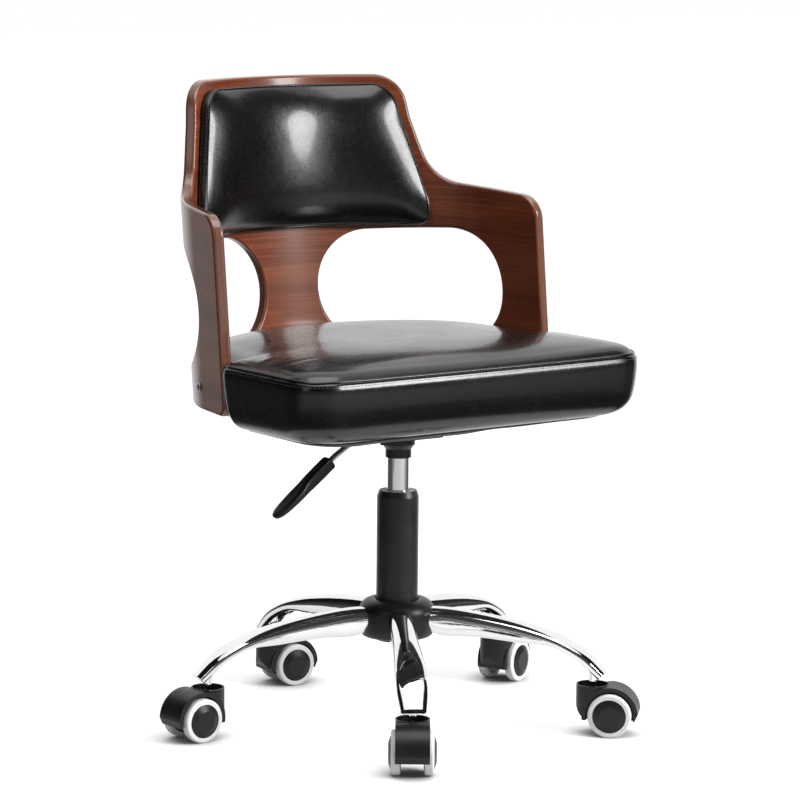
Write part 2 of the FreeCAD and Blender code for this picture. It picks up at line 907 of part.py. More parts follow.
def seat_plate():
    """A flange over a box channel with the tapered socket and the lever's ears."""
    foot = plate_foot_z()
    channel_foot = foot - z.channel_depth
    wall = z.channel_wall
    half = z.collar_outer / 2
    wide = z.collar_wide / 2
    flange = block("plate_flange", (z.plate_length, z.plate_width, z.plate_thick), (0, 0, foot))
    channel = block("plate_channel", (z.channel_width, z.channel_length, z.channel_depth),
                    (0, 0, channel_foot))
    room = block("plate_room", (z.channel_width - wall * 2, z.channel_length - wall * 2,
                                z.channel_depth - wall), (0, 0, channel_foot + wall))
    step = z.collar_foot_z + z.collar_step
    flare = step + z.collar_flare
    collar_top = z.cylinder_top_z - z.collar_top_gap
    collar = [cylinder("collar_tube", half, collar_top - z.collar_foot_z, (0, 0, z.collar_foot_z)),
              cone("collar_cone", half, wide, z.collar_flare, (0, 0, step)),
              cylinder("collar_boss", wide, collar_top - flare, (0, 0, flare))]
    ear_foot = z.lever_pivot_z - z.lever_pin_outer / 2 - z.ear_drop
    ears = [block("plate_ear_" + str(number),
                  (z.ear_reach, z.ear_thick, foot - ear_foot),
                  (-(z.channel_width + z.ear_reach) / 2,
                   side * (z.lever_eye_width / 2 + z.ear_gap + z.ear_thick / 2) - z.lever_pivot_y,
                   ear_foot)) for number, side in enumerate((1, -1), start=1)]
    bore = z.cylinder_outer / 2 + z.fit_gap
    taper_foot = z.cylinder_top_z - z.taper_length
    taper_step = z.taper_length - z.collar_top_gap
    taper_top = bore - z.taper_drop * (taper_step / z.taper_length)
    bores = [cylinder("socket_bore", bore, taper_foot - z.collar_foot_z, (0, 0, z.collar_foot_z)),
             cone("socket_taper", bore, taper_top, taper_step, (0, 0, taper_foot))]
    slot = block("lever_slot", (z.lever_slot_reach, z.lever_eye_width,
                                z.lever_rod_outer + z.lever_slot_room * 2),
                 ((z.lever_slot_reach - z.channel_width) / 2 - wall * 2, -z.lever_pivot_y,
                  z.lever_pivot_z - z.lever_rod_outer / 2 - z.lever_slot_room))
    pivot = cylinder("pivot_bore", z.lever_pin_outer / 2 + z.fit_gap, z.lever_eye_width * 2,
                     (-z.lever_pivot_x, -z.lever_pivot_y - z.lever_eye_width, z.lever_pivot_z),
                     Rotation(Vector(1, 0, 0), -90))
    holes = [cylinder("plate_hole_" + str(number), z.bolt_outer / 2 + z.fit_gap, z.plate_thick * 3,
                      (x, y, foot - z.plate_thick))
             for number, (x, y) in enumerate(bolt_places(), start=1)]
    hollow = cut("plate_shell", channel, [room])
    body = fuse("plate_body", [flange, hollow] + collar + ears)
    keep(cut("seat_plate", body, bores + [slot, pivot] + holes), "seat_plate")


def plate_bolts():
    """Four bolts up through the flange into the tee nuts."""
    shank, head = float(z.bolt_outer / 2), float(z.bolt_head / 2)
    under = float(plate_foot_z())
    high = float(z.bolt_head_height)
    top = float(z.seat_foot_z + z.board_rise + z.board_thick + z.bolt_proud)
    solids = []
    for x, y in bolt_places():
        place_low = Vector(float(x), float(y), under - high)
        bolt = Part.makeCylinder(head, high, place_low)
        rod = Part.makeCylinder(shank, top - under, place_low + Vector(0, 0, high))
        solids.append(bolt.fuse(rod).removeSplitter())
    shaped("plate_bolts", group(solids))


def tee_nuts():
    """Flanged sleeves let into the seat board from above."""
    bore = float(z.bolt_outer / 2 + z.fit_gap)
    barrel, flange = float(z.tee_outer / 2), float(z.tee_flange / 2)
    thick = float(z.tee_flange_thick)
    foot = float(z.seat_foot_z + z.board_rise + z.loose_gap)
    top = float(z.seat_foot_z + z.board_rise + z.board_thick)
    solids = []
    for x, y in bolt_places():
        low = Vector(float(x), float(y), foot)
        sleeve = Part.makeCylinder(barrel, top - foot, low)
        rim = Part.makeCylinder(flange, thick, Vector(low.x, low.y, top))
        hole = Part.makeCylinder(bore, top - foot + thick, low)
        solids.append(sleeve.fuse(rim).cut(hole))
    shaped("tee_nuts", group(solids))


# Lever

def lever_points():
    """The bent rod from the finger over the valve pin out to the handle."""
    pivot = Vector(-float(z.lever_pivot_x), -float(z.lever_pivot_y), float(z.lever_pivot_z))
    finger = Vector(0, 0, pivot.z + float(z.lever_finger_rise))
    inner = pivot + Vector(float(z.lever_inner_run), 0, float(z.lever_inner_rise))
    points = [finger, inner, pivot]
    for run, fall in ((z.lever_run_1, z.lever_fall_1), (z.lever_run_2, z.lever_fall_2),
                      (z.lever_run_3, z.lever_fall_3)):
        points.append(points[-1] - Vector(float(run), 0, float(fall)))
    return points


def tube_through(points, radius):
    """Straight round rods with a ball at each bend."""
    solid = None
    for start, end in zip(points, points[1:]):
        rod = Part.makeCylinder(radius, (end - start).Length, start, end - start)
        solid = rod if solid is None else solid.fuse(rod)
    for point in points[1:-1]:
        solid = solid.fuse(Part.makeSphere(radius, point))
    return solid


def lever_rod():
    points = lever_points()
    pivot = points[2]
    solid = tube_through(points, float(z.lever_rod_outer / 2))
    width = float(z.lever_eye_width)
    start = pivot - Vector(0, width / 2, 0)
    eye = Part.makeCylinder(float(z.lever_eye_outer / 2), width, start, Vector(0, 1, 0))
    hole = Part.makeCylinder(float(z.lever_pin_outer / 2 + z.fit_gap), width, start, Vector(0, 1, 0))
    shaped("lever_rod", solid.fuse(eye).cut(hole))


def lever_pin():
    half = z.lever_eye_width / 2 + z.ear_gap + z.ear_thick
    turn = Rotation(Vector(1, 0, 0), -90)
    spot = Vector(-float(z.lever_pivot_x), -float(z.lever_pivot_y), float(z.lever_pivot_z))
    turned_body("lever_pin", [(0, -half), (z.lever_pin_outer / 2, -half),
                              (z.lever_pin_outer / 2, half), (0, half)], Placement(spot, turn))


def rounded_section(centre, along, width, height, corner):
    """An upright rounded rectangle square to a direction in the XZ plane."""
    across = Vector(0, 1, 0)
    up = across.cross(along)
    if up.z < 0:
        up = up.negative()
    flat_y = width / 2 - corner
    flat_z = height / 2 - corner
    edges = []
    last = None
    first = None
    for number in range(4):
        side_y = 1 if number in (0, 3) else -1
        side_z = 1 if number in (0, 1) else -1
        middle = centre + across * (side_y * flat_y) + up * (side_z * flat_z)
        points = []
        for part in range(3):
            turn = math.radians(90 * number + 45 * part)
            points.append(middle + across * (corner * math.cos(turn)) + up * (corner * math.sin(turn)))
        if last is not None:
            edges.append(Part.makeLine(last, points[0]))
        else:
            first = points[0]
        edges.append(Part.Arc(*points).toShape())
        last = points[2]
    edges.append(Part.makeLine(last, first))
    return Part.Wire(edges)


def lever_handle():
    """A paddle: a block round the rod, then a narrower tongue with a rounded end."""
    points = lever_points()
    along = (points[-1] - points[-2]).normalize()
    start = points[-2] + along * float(z.handle_start)
    block_end = float(z.handle_block)
    length = float(z.handle_length)
    sections = [
        (0, z.handle_width, z.handle_thick),
        (block_end, z.handle_width, z.handle_thick),
        (block_end + float(z.handle_round), z.handle_tongue_width, z.handle_tongue_thick),
        (length - float(z.handle_tongue_width) / 2, z.handle_tongue_width, z.handle_tip_thick),
        (length, z.handle_tongue_width / 2, z.handle_tip_thick / 2),
    ]
    wires = []
    for run, width, thick in sections:
        corner = min(float(z.handle_round), 0.45 * min(float(width), float(thick)))
        wires.append(rounded_section(start + along * run, along, float(width), float(thick), corner))
    solid = Part.makeLoft(wires, True, True)
    rod_end = (points[-1] - start).Length + float(z.loose_gap)
    bore = Part.makeCylinder(float(z.lever_rod_outer / 2 + z.fit_gap), rod_end, start, along)
    shaped("lever_handle", solid.cut(bore))


# Bent shell

BACK_TURN = math.radians(float(z.back_angle))
SIDE_TURN = math.radians(float(z.side_angle))
LEAN = math.radians(float(z.lean_angle))
BACK_ARC = float(z.back_radius) * BACK_TURN
SIDE_ARC = BACK_ARC + float(z.side_radius) * (SIDE_TURN - BACK_TURN)
SIDE_CENTRE_X = float(z.back_radius - z.side_radius) * math.sin(BACK_TURN)
BACK_CENTRE_Y = float(z.back_face_y - z.back_radius)
SIDE_CENTRE_Y = BACK_CENTRE_Y + float(z.back_radius - z.side_radius) * math.cos(BACK_TURN)


def lean_y(height):
    """How far the shell leans back at a height."""
    return height * math.tan(LEAN)


def shell_turn(reach):
    """The angle of the shell's face at a reach round it from the middle."""
    reach = abs(reach)
    if reach <= BACK_ARC:
        return reach / float(z.back_radius)
    if reach <= SIDE_ARC:
        return BACK_TURN + (reach - BACK_ARC) / float(z.side_radius)
    return SIDE_TURN


def shell_plan(reach, offset):
    """A point of the shell's floor plan, an offset outside its inner face."""
    side = 1 if reach >= 0 else -1
    turn = shell_turn(reach)
    straight = max(abs(reach) - SIDE_ARC, 0)
    if abs(reach) <= BACK_ARC:
        x = float(z.back_radius) * math.sin(turn)
        y = BACK_CENTRE_Y + float(z.back_radius) * math.cos(turn)
    else:
        x = SIDE_CENTRE_X + float(z.side_radius) * math.sin(turn) + straight * math.cos(turn)
        y = SIDE_CENTRE_Y + float(z.side_radius) * math.cos(turn) - straight * math.sin(turn)
    return Vector(side * (x + offset * math.sin(turn)), y + offset * math.cos(turn), 0)


def shell_point(reach, height, offset):
    return shell_plan(reach, offset) + Vector(0, lean_y(height), height)


def shell_normal(reach):
    """The direction square out of the leaning shell."""
    side = 1 if reach >= 0 else -1
    turn = shell_turn(reach)
    across = Vector(side * math.sin(turn) * math.cos(LEAN), math.cos(turn) * math.cos(LEAN),
                    -math.cos(turn) * math.sin(LEAN))
    return across.normalize()


def shell_surface(offset):
    steps = 60
    limit = float(z.arm_end_half + z.cut_over)
    reaches = [limit * (2 * number / steps - 1) for number in range(steps + 1)]
    curve = Part.BSplineCurve()
    curve.interpolate(Points=[shell_plan(reach, offset) for reach in reaches], Parameters=reaches)
    return Part.SurfaceOfExtrusion(curve, Vector(0, math.sin(LEAN), math.cos(LEAN)))


def rounded_loop(corners):
    """Flat curves round a polygon whose corners have a radius each."""
    pieces = []
    turns = []
    count = len(corners)
    for number, (x, y, radius) in enumerate(corners):
        corner = Vector(x, y, 0)
        before = Vector(*corners[number - 1][:2], 0) - corner
        after = Vector(*corners[(number + 1) % count][:2], 0) - corner
        before.normalize()
        after.normalize()
        half = before.getAngle(after) / 2
        middle = (before + after).normalize()
        start = corner + before * (radius / math.tan(half))
        end = corner + after * (radius / math.tan(half))
        crown = corner + middle * (radius / math.sin(half) - radius)
        turns.append((start, crown, end))
    for number, (start, crown, end) in enumerate(turns):
        flat = [Base.Vector2d(point.x, point.y) for point in (start, crown, end)]
        pieces.append(Part.Geom2d.ArcOfCircle2d(*flat))
        following = turns[(number + 1) % count][0]
        if following.sub(end).Length > float(z.fit_gap):
            pieces.append(Part.Geom2d.Line2dSegment(flat[2], Base.Vector2d(following.x, following.y)))
    return pieces


def shell_outline():
    half = [
        (z.shell_top_half, z.shell_top_z, z.shell_top_round),
        (z.shell_waist_half, z.shell_waist_z, z.shell_waist_round),
        (z.shoulder_half, z.shoulder_z, z.shoulder_round),
        (z.armpit_half, z.armpit_z, z.armpit_round),
        (z.arm_rise_half, z.arm_rise_z, z.arm_rise_round),
        (z.arm_end_half, z.arm_end_z, z.arm_end_round),
        (z.arm_foot_half, z.shell_foot_z, z.arm_foot_round),
    ]
    scale = math.cos(LEAN)
    right = [(float(a), float(b) / scale, float(c)) for a, b, c in half]
    left = [(-a, b, c) for a, b, c in reversed(right)]
    return right + left


def oval_outline(side):
    """A rounded slot that wraps round the side of the back into the arm."""
    tilt = math.radians(float(z.oval_tilt_angle))
    half_wide, half_high = float(z.oval_width / 2), float(z.oval_height / 2)
    radius = half_high - float(z.fit_gap)
    corners = []
    for across, up in ((1, 1), (1, -1), (-1, -1), (-1, 1)):
        x = across * half_wide * math.cos(tilt) - up * half_high * math.sin(tilt)
        y = across * half_wide * math.sin(tilt) + up * half_high * math.cos(tilt)
        corners.append((side * (float(z.oval_centre_half) + x),
                        (float(z.oval_centre_z) + y) / math.cos(LEAN), radius))
    return corners


def screw_hole(reach, height, radius):
    start = shell_point(reach, height, 0) - shell_normal(reach) * float(z.cut_over)
    return Part.makeCylinder(radius, float(z.shell_thick + z.cut_over * 2), start, shell_normal(reach))


def seat_screw_places():
    return [(side * float(reach), float(z.screw_z))
            for reach in (z.side_screw_half, z.rear_screw_half) for side in (1, -1)]


def back_screw_places():
    return [(side * float(z.back_screw_half), float(height))
            for height in (z.back_screw_low_z, z.back_screw_high_z) for side in (1, -1)]


def shell():
    """Bent sheet between two leaning faces, with walls square to its plan."""
    inner, outer = shell_surface(0), shell_surface(float(z.shell_thick))
    loops = [rounded_loop(corners) for corners in (shell_outline(), oval_outline(1), oval_outline(-1))]
    faces = []
    walls = []
    for surface in (inner, outer):
        wires = [Part.Wire(Part.__sortEdges__([curve.toShape(surface) for curve in loop]))
                 for loop in loops]
        face = Part.Face(surface, wires[0])
        face.cutHoles(wires[1:])
        face.validate()
        faces.append(face)
    for loop in loops:
        for curve in loop:
            walls.append(Part.makeRuledSurface(curve.toShape(inner), curve.toShape(outer)))
    skin = Part.makeCompound(faces + walls)
    skin.sewShape(float(z.fit_gap) / 5)
    solid = Part.makeSolid(skin.Shells[0])
    limit = float(z.shell_thick) * 2
    solid = solid.makeFillet(float(z.shell_edge_round), [edge for edge in solid.Edges if edge.Length > limit])
    for reach, height in seat_screw_places():
        solid = solid.cut(screw_hole(reach, height, float(z.screw_outer / 2 + z.fit_gap)))
    for reach, height in back_screw_places():
        solid = solid.cut(screw_hole(reach, height, float(z.back_screw_outer / 2 + z.fit_gap)))
    shaped("shell", solid)


def screw(reach, height, radius, head_radius, head_height, bite):
    """A pan head on the outer face with its shank square through the shell."""
    out = shell_normal(reach)
    level = shell_plan(reach, float(z.shell_thick)) - shell_plan(reach, 0)
    face = shell_point(reach, height, 0) + out * (level.dot(out) + float(z.fit_gap))
    shank = Part.makeCylinder(radius, bite, face - out * bite, out)
    head = Part.makeCone(head_radius, radius, head_height, face, out)
    return shank.fuse(head)


def shell_screws():
    solids = [screw(reach, height, float(z.screw_outer / 2), float(z.screw_head / 2),
                    float(z.screw_head_height), float(z.shell_thick + z.rear_batten_inset + z.screw_bite))
              for reach, height in seat_screw_places()]
    shaped("shell_screws", group(solids))


def back_screws():
    bite = float(z.shell_thick + z.pad_gap + z.back_board_gap + z.back_board_thick / 2)
    solids = [screw(reach, height, float(z.back_screw_outer / 2), float(z.back_screw_head / 2),
                    float(z.back_screw_head_height), bite) for reach, height in back_screw_places()]
    shaped("back_screws", group(solids))


# Seat

SEAT_FRAME_SHARES = [(0.00, 1.00), (0.07, 0.60), (0.36, 0.26), (0.70, 0.06), (1.00, 0.00)]
SEAT_CROWN_SHARES = [(0.38, 0.06), (0.70, 0.25), (0.90, 0.60), (1.00, 1.00)]
SIDE_FADE_SHARE = 0.8
NOTCH_SHARE = 0.45


def arc_about(centre, radius, start, end):
    """An arc in a flat plane; angles are measured from +Y towards +X."""
    points = []
    for turn in (start, (start + end) / 2, end):
        points.append(centre + Vector(radius * math.sin(turn), radius * math.cos(turn), 0))
    return Part.Arc(*points).toShape()


def seat_front_y():
    """The seat's front stands a fixed reach before the ends of the arms."""
    return shell_point(float(z.arm_end_half), float(z.seat_seam_z), 0).y - float(z.seat_past_arm)


def seat_outline(height, inset, fade):
    """The seat's plan: it follows the shell and swells in front of the arms."""
    near = inset + float(z.seat_shell_gap)
    level = Vector(0, lean_y(height), height)
    back_radius = float(z.back_radius) - near
    side_radius = float(z.side_radius) - near
    back = level + Vector(0, BACK_CENTRE_Y, 0)
    side = level + Vector(SIDE_CENTRE_X, SIDE_CENTRE_Y, 0)
    arm = side + Vector(side_radius * math.sin(SIDE_TURN), side_radius * math.cos(SIDE_TURN), 0)
    front_of_arm = shell_point(float(z.arm_end_half), height, 0)
    notch_y = front_of_arm.y - float(z.seat_arm_gap)
    run = (arm.y - notch_y) / math.sin(SIDE_TURN)
    notch = Vector(arm.x + run * math.cos(SIDE_TURN), notch_y, height)
    swell = (float(z.seat_half_width) - front_of_arm.x) * (1 - SIDE_FADE_SHARE * fade)
    round_notch = swell * NOTCH_SHARE
    wide = notch.x + swell
    corner = float(z.seat_corner_round)
    front = seat_front_y() + inset
    right = [
        arc_about(side, side_radius, BACK_TURN, SIDE_TURN),
        Part.makeLine(arm, notch),
        Part.makeLine(notch, Vector(wide - round_notch, notch_y, height)),
        arc_about(Vector(wide - round_notch, notch_y - round_notch, height), round_notch, 0, math.pi / 2),
        Part.makeLine(Vector(wide, notch_y - round_notch, height), Vector(wide, front + corner, height)),
        arc_about(Vector(wide - corner, front + corner, height), corner, math.pi / 2, math.pi),
    ]
    mirror = Base.Matrix()
    mirror.A11 = -1
    left = [edge.transformGeometry(mirror) for edge in reversed(right)]
    start = Vector(wide - corner, front, height)
    end = Vector(corner - wide, front, height)
    middle = [Part.makeLine(start, end)]
    across = [arc_about(back, back_radius, -BACK_TURN, BACK_TURN)]
    return Part.Wire(Part.__sortEdges__(across + right + middle + left))


def seat_solid():
    """Drawn in below its seam and crowned above it."""
    foot, seam = float(z.seat_foot_z), float(z.seat_seam_z)
    wires = []
    for up, inset in SEAT_FRAME_SHARES:
        wires.append(seat_outline(foot + up * (seam - foot), inset * float(z.seat_tuck), 0))
    for up, inset in SEAT_CROWN_SHARES:
        height = seam + up * float(z.seat_crown_height)
        wires.append(seat_outline(height, inset * float(z.seat_crown_run), inset))
    return Part.makeLoft(wires, True, True)


def board_solid(grow):
    """The plywood board, or the room for it."""
    low = float(z.seat_foot_z + z.board_rise)
    wire = seat_outline(low, float(z.board_inset) - grow, 0)
    return Part.Face(wire).extrude(Vector(0, 0, float(z.board_thick) + grow))


def batten_solid(reach, length, thick, inset, grow):
    """A block behind the shell's screws, or the room for it."""
    low = float(z.seat_foot_z + z.board_rise + z.board_thick + z.fit_gap)
    turn = shell_turn(reach)
    side = 1 if reach >= 0 else -1
    corner = shell_point(reach, float(z.screw_z), -inset + grow)
    box = Part.makeBox(thick + grow * 2, length + grow * 2, float(z.batten_height) + grow,
                       Vector(-thick - grow * 2, -length / 2 - grow, 0))
    heading = math.degrees(math.pi / 2 - turn * side)
    box.Placement = Placement(Vector(corner.x, corner.y, low), Rotation(Vector(0, 0, 1), heading))
    return box


def battens(grow):
    sides = [batten_solid(side * float(z.side_screw_half), float(z.side_batten_length),
                          float(z.side_batten_thick), float(z.side_batten_inset), grow)
             for side in (1, -1)]
    rear = batten_solid(0, float(z.rear_batten_length), float(z.rear_batten_thick),
                        float(z.rear_batten_inset), grow)
    return sides + [rear]


def screw_rooms(gap):
    """Round holes for the shell screws, a gap wider than their shanks."""
    rooms = []
    reach_in = float(z.rear_batten_inset + z.screw_bite) + gap
    for reach, height in seat_screw_places():
        start = shell_point(reach, height, 0) - shell_normal(reach) * reach_in
        rooms.append(Part.makeCylinder(float(z.screw_outer / 2) + gap, reach_in + gap, start,
                                       shell_normal(reach)))
    return rooms


def seat_battens():
    solids = [block_solid.cut(group(screw_rooms(float(z.fit_gap)))) for block_solid in battens(0)]
    shaped("seat_battens", group([solid.Solids[0] for solid in solids]))


def nut_rooms(gap):
    """Room in the board and cushion for the tee nuts and bolt ends."""
    rooms = []
    low = float(z.seat_foot_z)
    top = float(z.seat_foot_z + z.board_rise + z.board_thick)
    for x, y in bolt_places():
        spot = Vector(float(x), float(y), low)
        rooms.append(Part.makeCylinder(float(z.tee_outer / 2) + gap, top - low, spot))
        flange = Vector(float(x), float(y), top - gap)
        rooms.append(Part.makeCylinder(float(z.tee_flange / 2) + gap,
                                       float(z.tee_flange_thick + z.bolt_proud) + gap * 2, flange))
    return rooms


def seat_board():
    low = float(z.seat_foot_z)
    holes = []
    for x, y in bolt_places():
        holes.append(Part.makeCylinder(float(z.tee_outer / 2 + z.fit_gap),
                                       float(z.board_rise + z.board_thick + z.cut_over),
                                       Vector(float(x), float(y), low)))
    shaped("seat_board", board_solid(0).cut(group(holes)))


def seat_cushion():
    gap = float(z.loose_gap)
    window = board_solid(gap)
    drop = float(z.board_rise + z.cut_over)
    below = window.copy()
    below.translate(Vector(0, 0, -drop))
    solid = seat_solid().cut(window).cut(below)
    for room in battens(gap) + screw_rooms(gap) + nut_rooms(gap):
        solid = solid.cut(room)
    shaped("seat_cushion", solid)


def dust_cover():
    """A thin sheet under the seat with a window for the plate."""
    thick = float(z.cover_sheet)
    low = float(z.seat_foot_z - z.cover_sheet_gap) - thick
    wire = seat_outline(float(z.seat_foot_z), float(z.seat_tuck + z.cover_sheet_inset), 0)
    sheet = Part.Face(wire).extrude(Vector(0, 0, thick))
    sheet.translate(Vector(0, 0, low - float(z.seat_foot_z)))
    long, wide = (float(size + z.cover_window_gap * 2) for size in (z.plate_length, z.plate_width))
    window = Part.makeBox(long, wide, thick * 3, Vector(-long / 2, -wide / 2, low - thick))
    shaped("dust_cover", sheet.cut(window))


# Back cushion

# Up the cushion: share of its height, and shares of its half width and thickness
PAD_SHARES = [
    (0.000, 0.88, 0.30), (0.070, 0.98, 0.72), (0.210, 1.00, 0.96), (0.500, 0.94, 1.00),
    (0.760, 0.87, 0.92), (0.930, 0.80, 0.68), (1.000, 0.71, 0.26),
]


def pad_section(height, half, thick, edge):
    """A slice of the cushion between a back arc and a fuller front arc."""
    gap = float(z.pad_gap)
    rear = [shell_point(reach, height, -gap) for reach in (-half, 0, half)]
    front = [shell_point(reach, height, -gap - deep)
             for reach, deep in ((-half, edge), (0, thick), (half, edge))]
    back = Part.Arc(*rear).toShape()
    face = Part.Arc(*front).toShape()
    return Part.Wire([back, Part.makeLine(rear[2], front[2]), face, Part.makeLine(front[0], rear[0])])


def back_board_solid(grow):
    """A bent board inside the cushion, or the room for it."""
    foot = float(z.back_board_foot_z) - grow
    high = float(z.back_board_height) + grow * 2
    half = float(z.back_board_half) + grow
    near = float(z.pad_gap + z.back_board_gap) - grow
    far = near + float(z.back_board_thick) + grow * 2
    turn = half / float(z.back_radius)
    centre = Vector(0, BACK_CENTRE_Y + lean_y(foot), foot)
    outer = arc_about(centre, float(z.back_radius) - near, -turn, turn)
    inner = arc_about(centre, float(z.back_radius) - far, turn, -turn)
    ends = [Part.makeLine(outer.Vertexes[1].Point, inner.Vertexes[0].Point),
            Part.makeLine(inner.Vertexes[1].Point, outer.Vertexes[0].Point)]
    face = Part.Face(Part.Wire([outer, ends[0], inner, ends[1]]))
    return face.extrude(Vector(0, lean_y(high), high))


def back_holes(gap):
    """Round holes for the back screws, a gap wider than their shanks."""
    reach_in = float(z.pad_gap + z.back_board_gap + z.back_board_thick / 2) + gap
    holes = []
    for reach, height in back_screw_places():
        out = shell_normal(reach)
        start = shell_point(reach, height, 0) - out * reach_in
        holes.append(Part.makeCylinder(float(z.back_screw_outer / 2) + gap, reach_in, start, out))
    return holes


def back_board():
    shaped("back_board", back_board_solid(0).cut(group(back_holes(float(z.fit_gap)))))


def back_cushion():
    foot, high = float(z.pad_foot_z), float(z.pad_height)
    wires = []
    for up, wide, full in PAD_SHARES:
        wires.append(pad_section(foot + up * high, wide * float(z.pad_half_width),
                                 full * float(z.pad_thick), full * float(z.pad_edge_thick)))
    solid = Part.makeLoft(wires, True, False)
    gap = float(z.loose_gap)
    solid = solid.cut(back_board_solid(gap))
    for hole in back_holes(gap):
        solid = solid.cut(hole)
    shaped("back_cushion", solid)


# Build

column_tube()
column_bush()
gas_cylinder()
piston_rod()
rod_clip()
thrust_bearing()
valve_pin()
hub_ring()
hub_cover()
legs()
caster_stems()
casters()
seat_plate()
plate_bolts()
tee_nuts()
lever_rod()
lever_pin()
lever_handle()
shell()
shell_screws()
back_screws()
seat_board()
seat_battens()
seat_cushion()
dust_cover()
back_board()
back_cushion()

# Checks and export

doc.recompute()
for item in doc.Objects:
    if "Invalid" in item.State or "Error" in item.State:
        raise ValueError(item.Name + " failed to build")
for item in SUBPARTS:
    if item.Shape.isNull() or not item.Shape.isValid():
        raise ValueError(item.Label + " has no valid shape")

os.makedirs("parts", exist_ok=True)
for item in SUBPARTS:
    item.Shape.exportStep("parts/" + item.Label + ".step")
print(len(SUBPARTS), "sub-parts")
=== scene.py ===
import json
from math import atan2, copysign, cos, pi, radians, sin, tan

import bpy
import numpy as np
from mathutils import Matrix, Vector
from mathutils.geometry import delaunay_2d_cdt


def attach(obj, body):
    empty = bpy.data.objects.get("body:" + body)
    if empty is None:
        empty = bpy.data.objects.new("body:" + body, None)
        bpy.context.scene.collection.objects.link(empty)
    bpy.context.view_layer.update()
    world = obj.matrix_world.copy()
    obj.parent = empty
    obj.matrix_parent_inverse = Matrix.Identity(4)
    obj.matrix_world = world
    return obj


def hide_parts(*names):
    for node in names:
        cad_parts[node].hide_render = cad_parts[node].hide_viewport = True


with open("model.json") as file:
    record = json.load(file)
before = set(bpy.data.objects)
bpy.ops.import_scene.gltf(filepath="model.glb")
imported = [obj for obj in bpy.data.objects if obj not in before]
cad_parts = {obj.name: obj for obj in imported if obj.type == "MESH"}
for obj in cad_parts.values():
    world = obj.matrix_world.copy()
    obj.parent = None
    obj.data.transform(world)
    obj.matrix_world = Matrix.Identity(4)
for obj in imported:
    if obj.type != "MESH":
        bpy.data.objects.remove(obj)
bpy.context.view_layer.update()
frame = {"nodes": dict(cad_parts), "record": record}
MM = 0.001


# Node trees

def set_all(item, **settings):
    for name, value in settings.items():
        setattr(item, name, value)
    return item


class Graph:
    """Adds and joins the nodes of one tree."""

    def __init__(self, tree):
        self.tree = tree

    def node(self, kind, settings=None, **inputs):
        item = set_all(self.tree.nodes.new(kind), **(settings or {}))
        for name, value in inputs.items():
            self.feed(item.inputs[name.replace("_", " ")], value)
        return item

    def feed(self, socket, value):
        if isinstance(value, bpy.types.NodeSocket):
            self.tree.links.new(value, socket)
        else:
            socket.default_value = value

    def apply(self, kind, operation, *values):
        item = self.node(kind, {"operation": operation})
        for socket, value in zip(item.inputs, values):
            self.feed(socket, value)
        return item

    def math(self, operation, *values):
        return self.apply("ShaderNodeMath", operation, *values).outputs[0]

    def vector(self, operation, *values):
        return self.apply("ShaderNodeVectorMath", operation, *values).outputs

    def times(self, first, second):
        return self.math("MULTIPLY", first, second)

    def plus(self, first, second):
        return self.math("ADD", first, second)

    def most(self, first, second):
        return self.math("MAXIMUM", first, second)

    def texture(self, kind, settings, vector, scale, **inputs):
        """A texture at one scale, or at a scale of its own along each axis."""
        if isinstance(scale, tuple):
            vector, scale = self.vector("MULTIPLY", vector, scale)[0], 1.0
        return self.node(kind, settings, Vector=vector, Scale=scale, **inputs).outputs

    def noise(self, vector, scale, detail=4.0, roughness=0.55):
        return self.texture("ShaderNodeTexNoise", {}, vector, scale, Detail=detail, Roughness=roughness)["Fac"]

    def cells(self, vector, scale, feature="F1"):
        return self.texture("ShaderNodeTexVoronoi", {"feature": feature}, vector, scale)["Distance"]

    def between(self, value, low, high, start, end):
        """A value carried from one range into another and kept there."""
        return self.node("ShaderNodeMapRange", Value=value, From_Min=low, From_Max=high, To_Min=start,
                         To_Max=end).outputs[0]

    def ramp(self, value, *stops):
        item = self.node("ShaderNodeValToRGB", Fac=value)
        row = item.color_ramp.elements
        while len(row) < len(stops):
            row.new(0.5)
        for element, (place, colour) in zip(row, stops):
            element.position = place
            element.color = (*colour, 1.0)
        return item.outputs["Color"]

    def mix(self, share, first, second):
        item = self.node("ShaderNodeMix", {"data_type": "RGBA"}, Factor=share)
        for socket, value in ((item.inputs[6], first), (item.inputs[7], second)):
            self.feed(socket, value if isinstance(value, bpy.types.NodeSocket) else (*value, 1.0))
        return item.outputs[2]

    def shade(self, value, low, high, dark, light):
        """A colour between two, by where a value lies in a range."""
        return self.mix(self.between(value, low, high, 0.0, 1.0), dark, light)

    def bump(self, height, strength, distance, normal=None):
        item = self.node("ShaderNodeBump", Height=height, Strength=strength, Distance=distance)
        if normal is not None:
            self.feed(item.inputs["Normal"], normal)
        return item.outputs["Normal"]


class Finish(Graph):
    """The tree of one material; plain numbers go straight to its shader's sockets."""

    def __init__(self, name, **plain):
        self.material = bpy.data.materials.new(name)
        self.material.use_nodes = True
        super().__init__(self.material.node_tree)
        self.tree.nodes.clear()
        self.plain = plain
        self.place = self.node("ShaderNodeTexCoord").outputs["Object"]

    def done(self, tone, rough, normal):
        return self.end(self.node("ShaderNodeBsdfPrincipled", Base_Color=tone, Roughness=rough, Normal=normal,
                                  **self.plain))

    def end(self, shader):
        self.node("ShaderNodeOutputMaterial", Surface=shader.outputs[0])
        return self.material


# Finishes

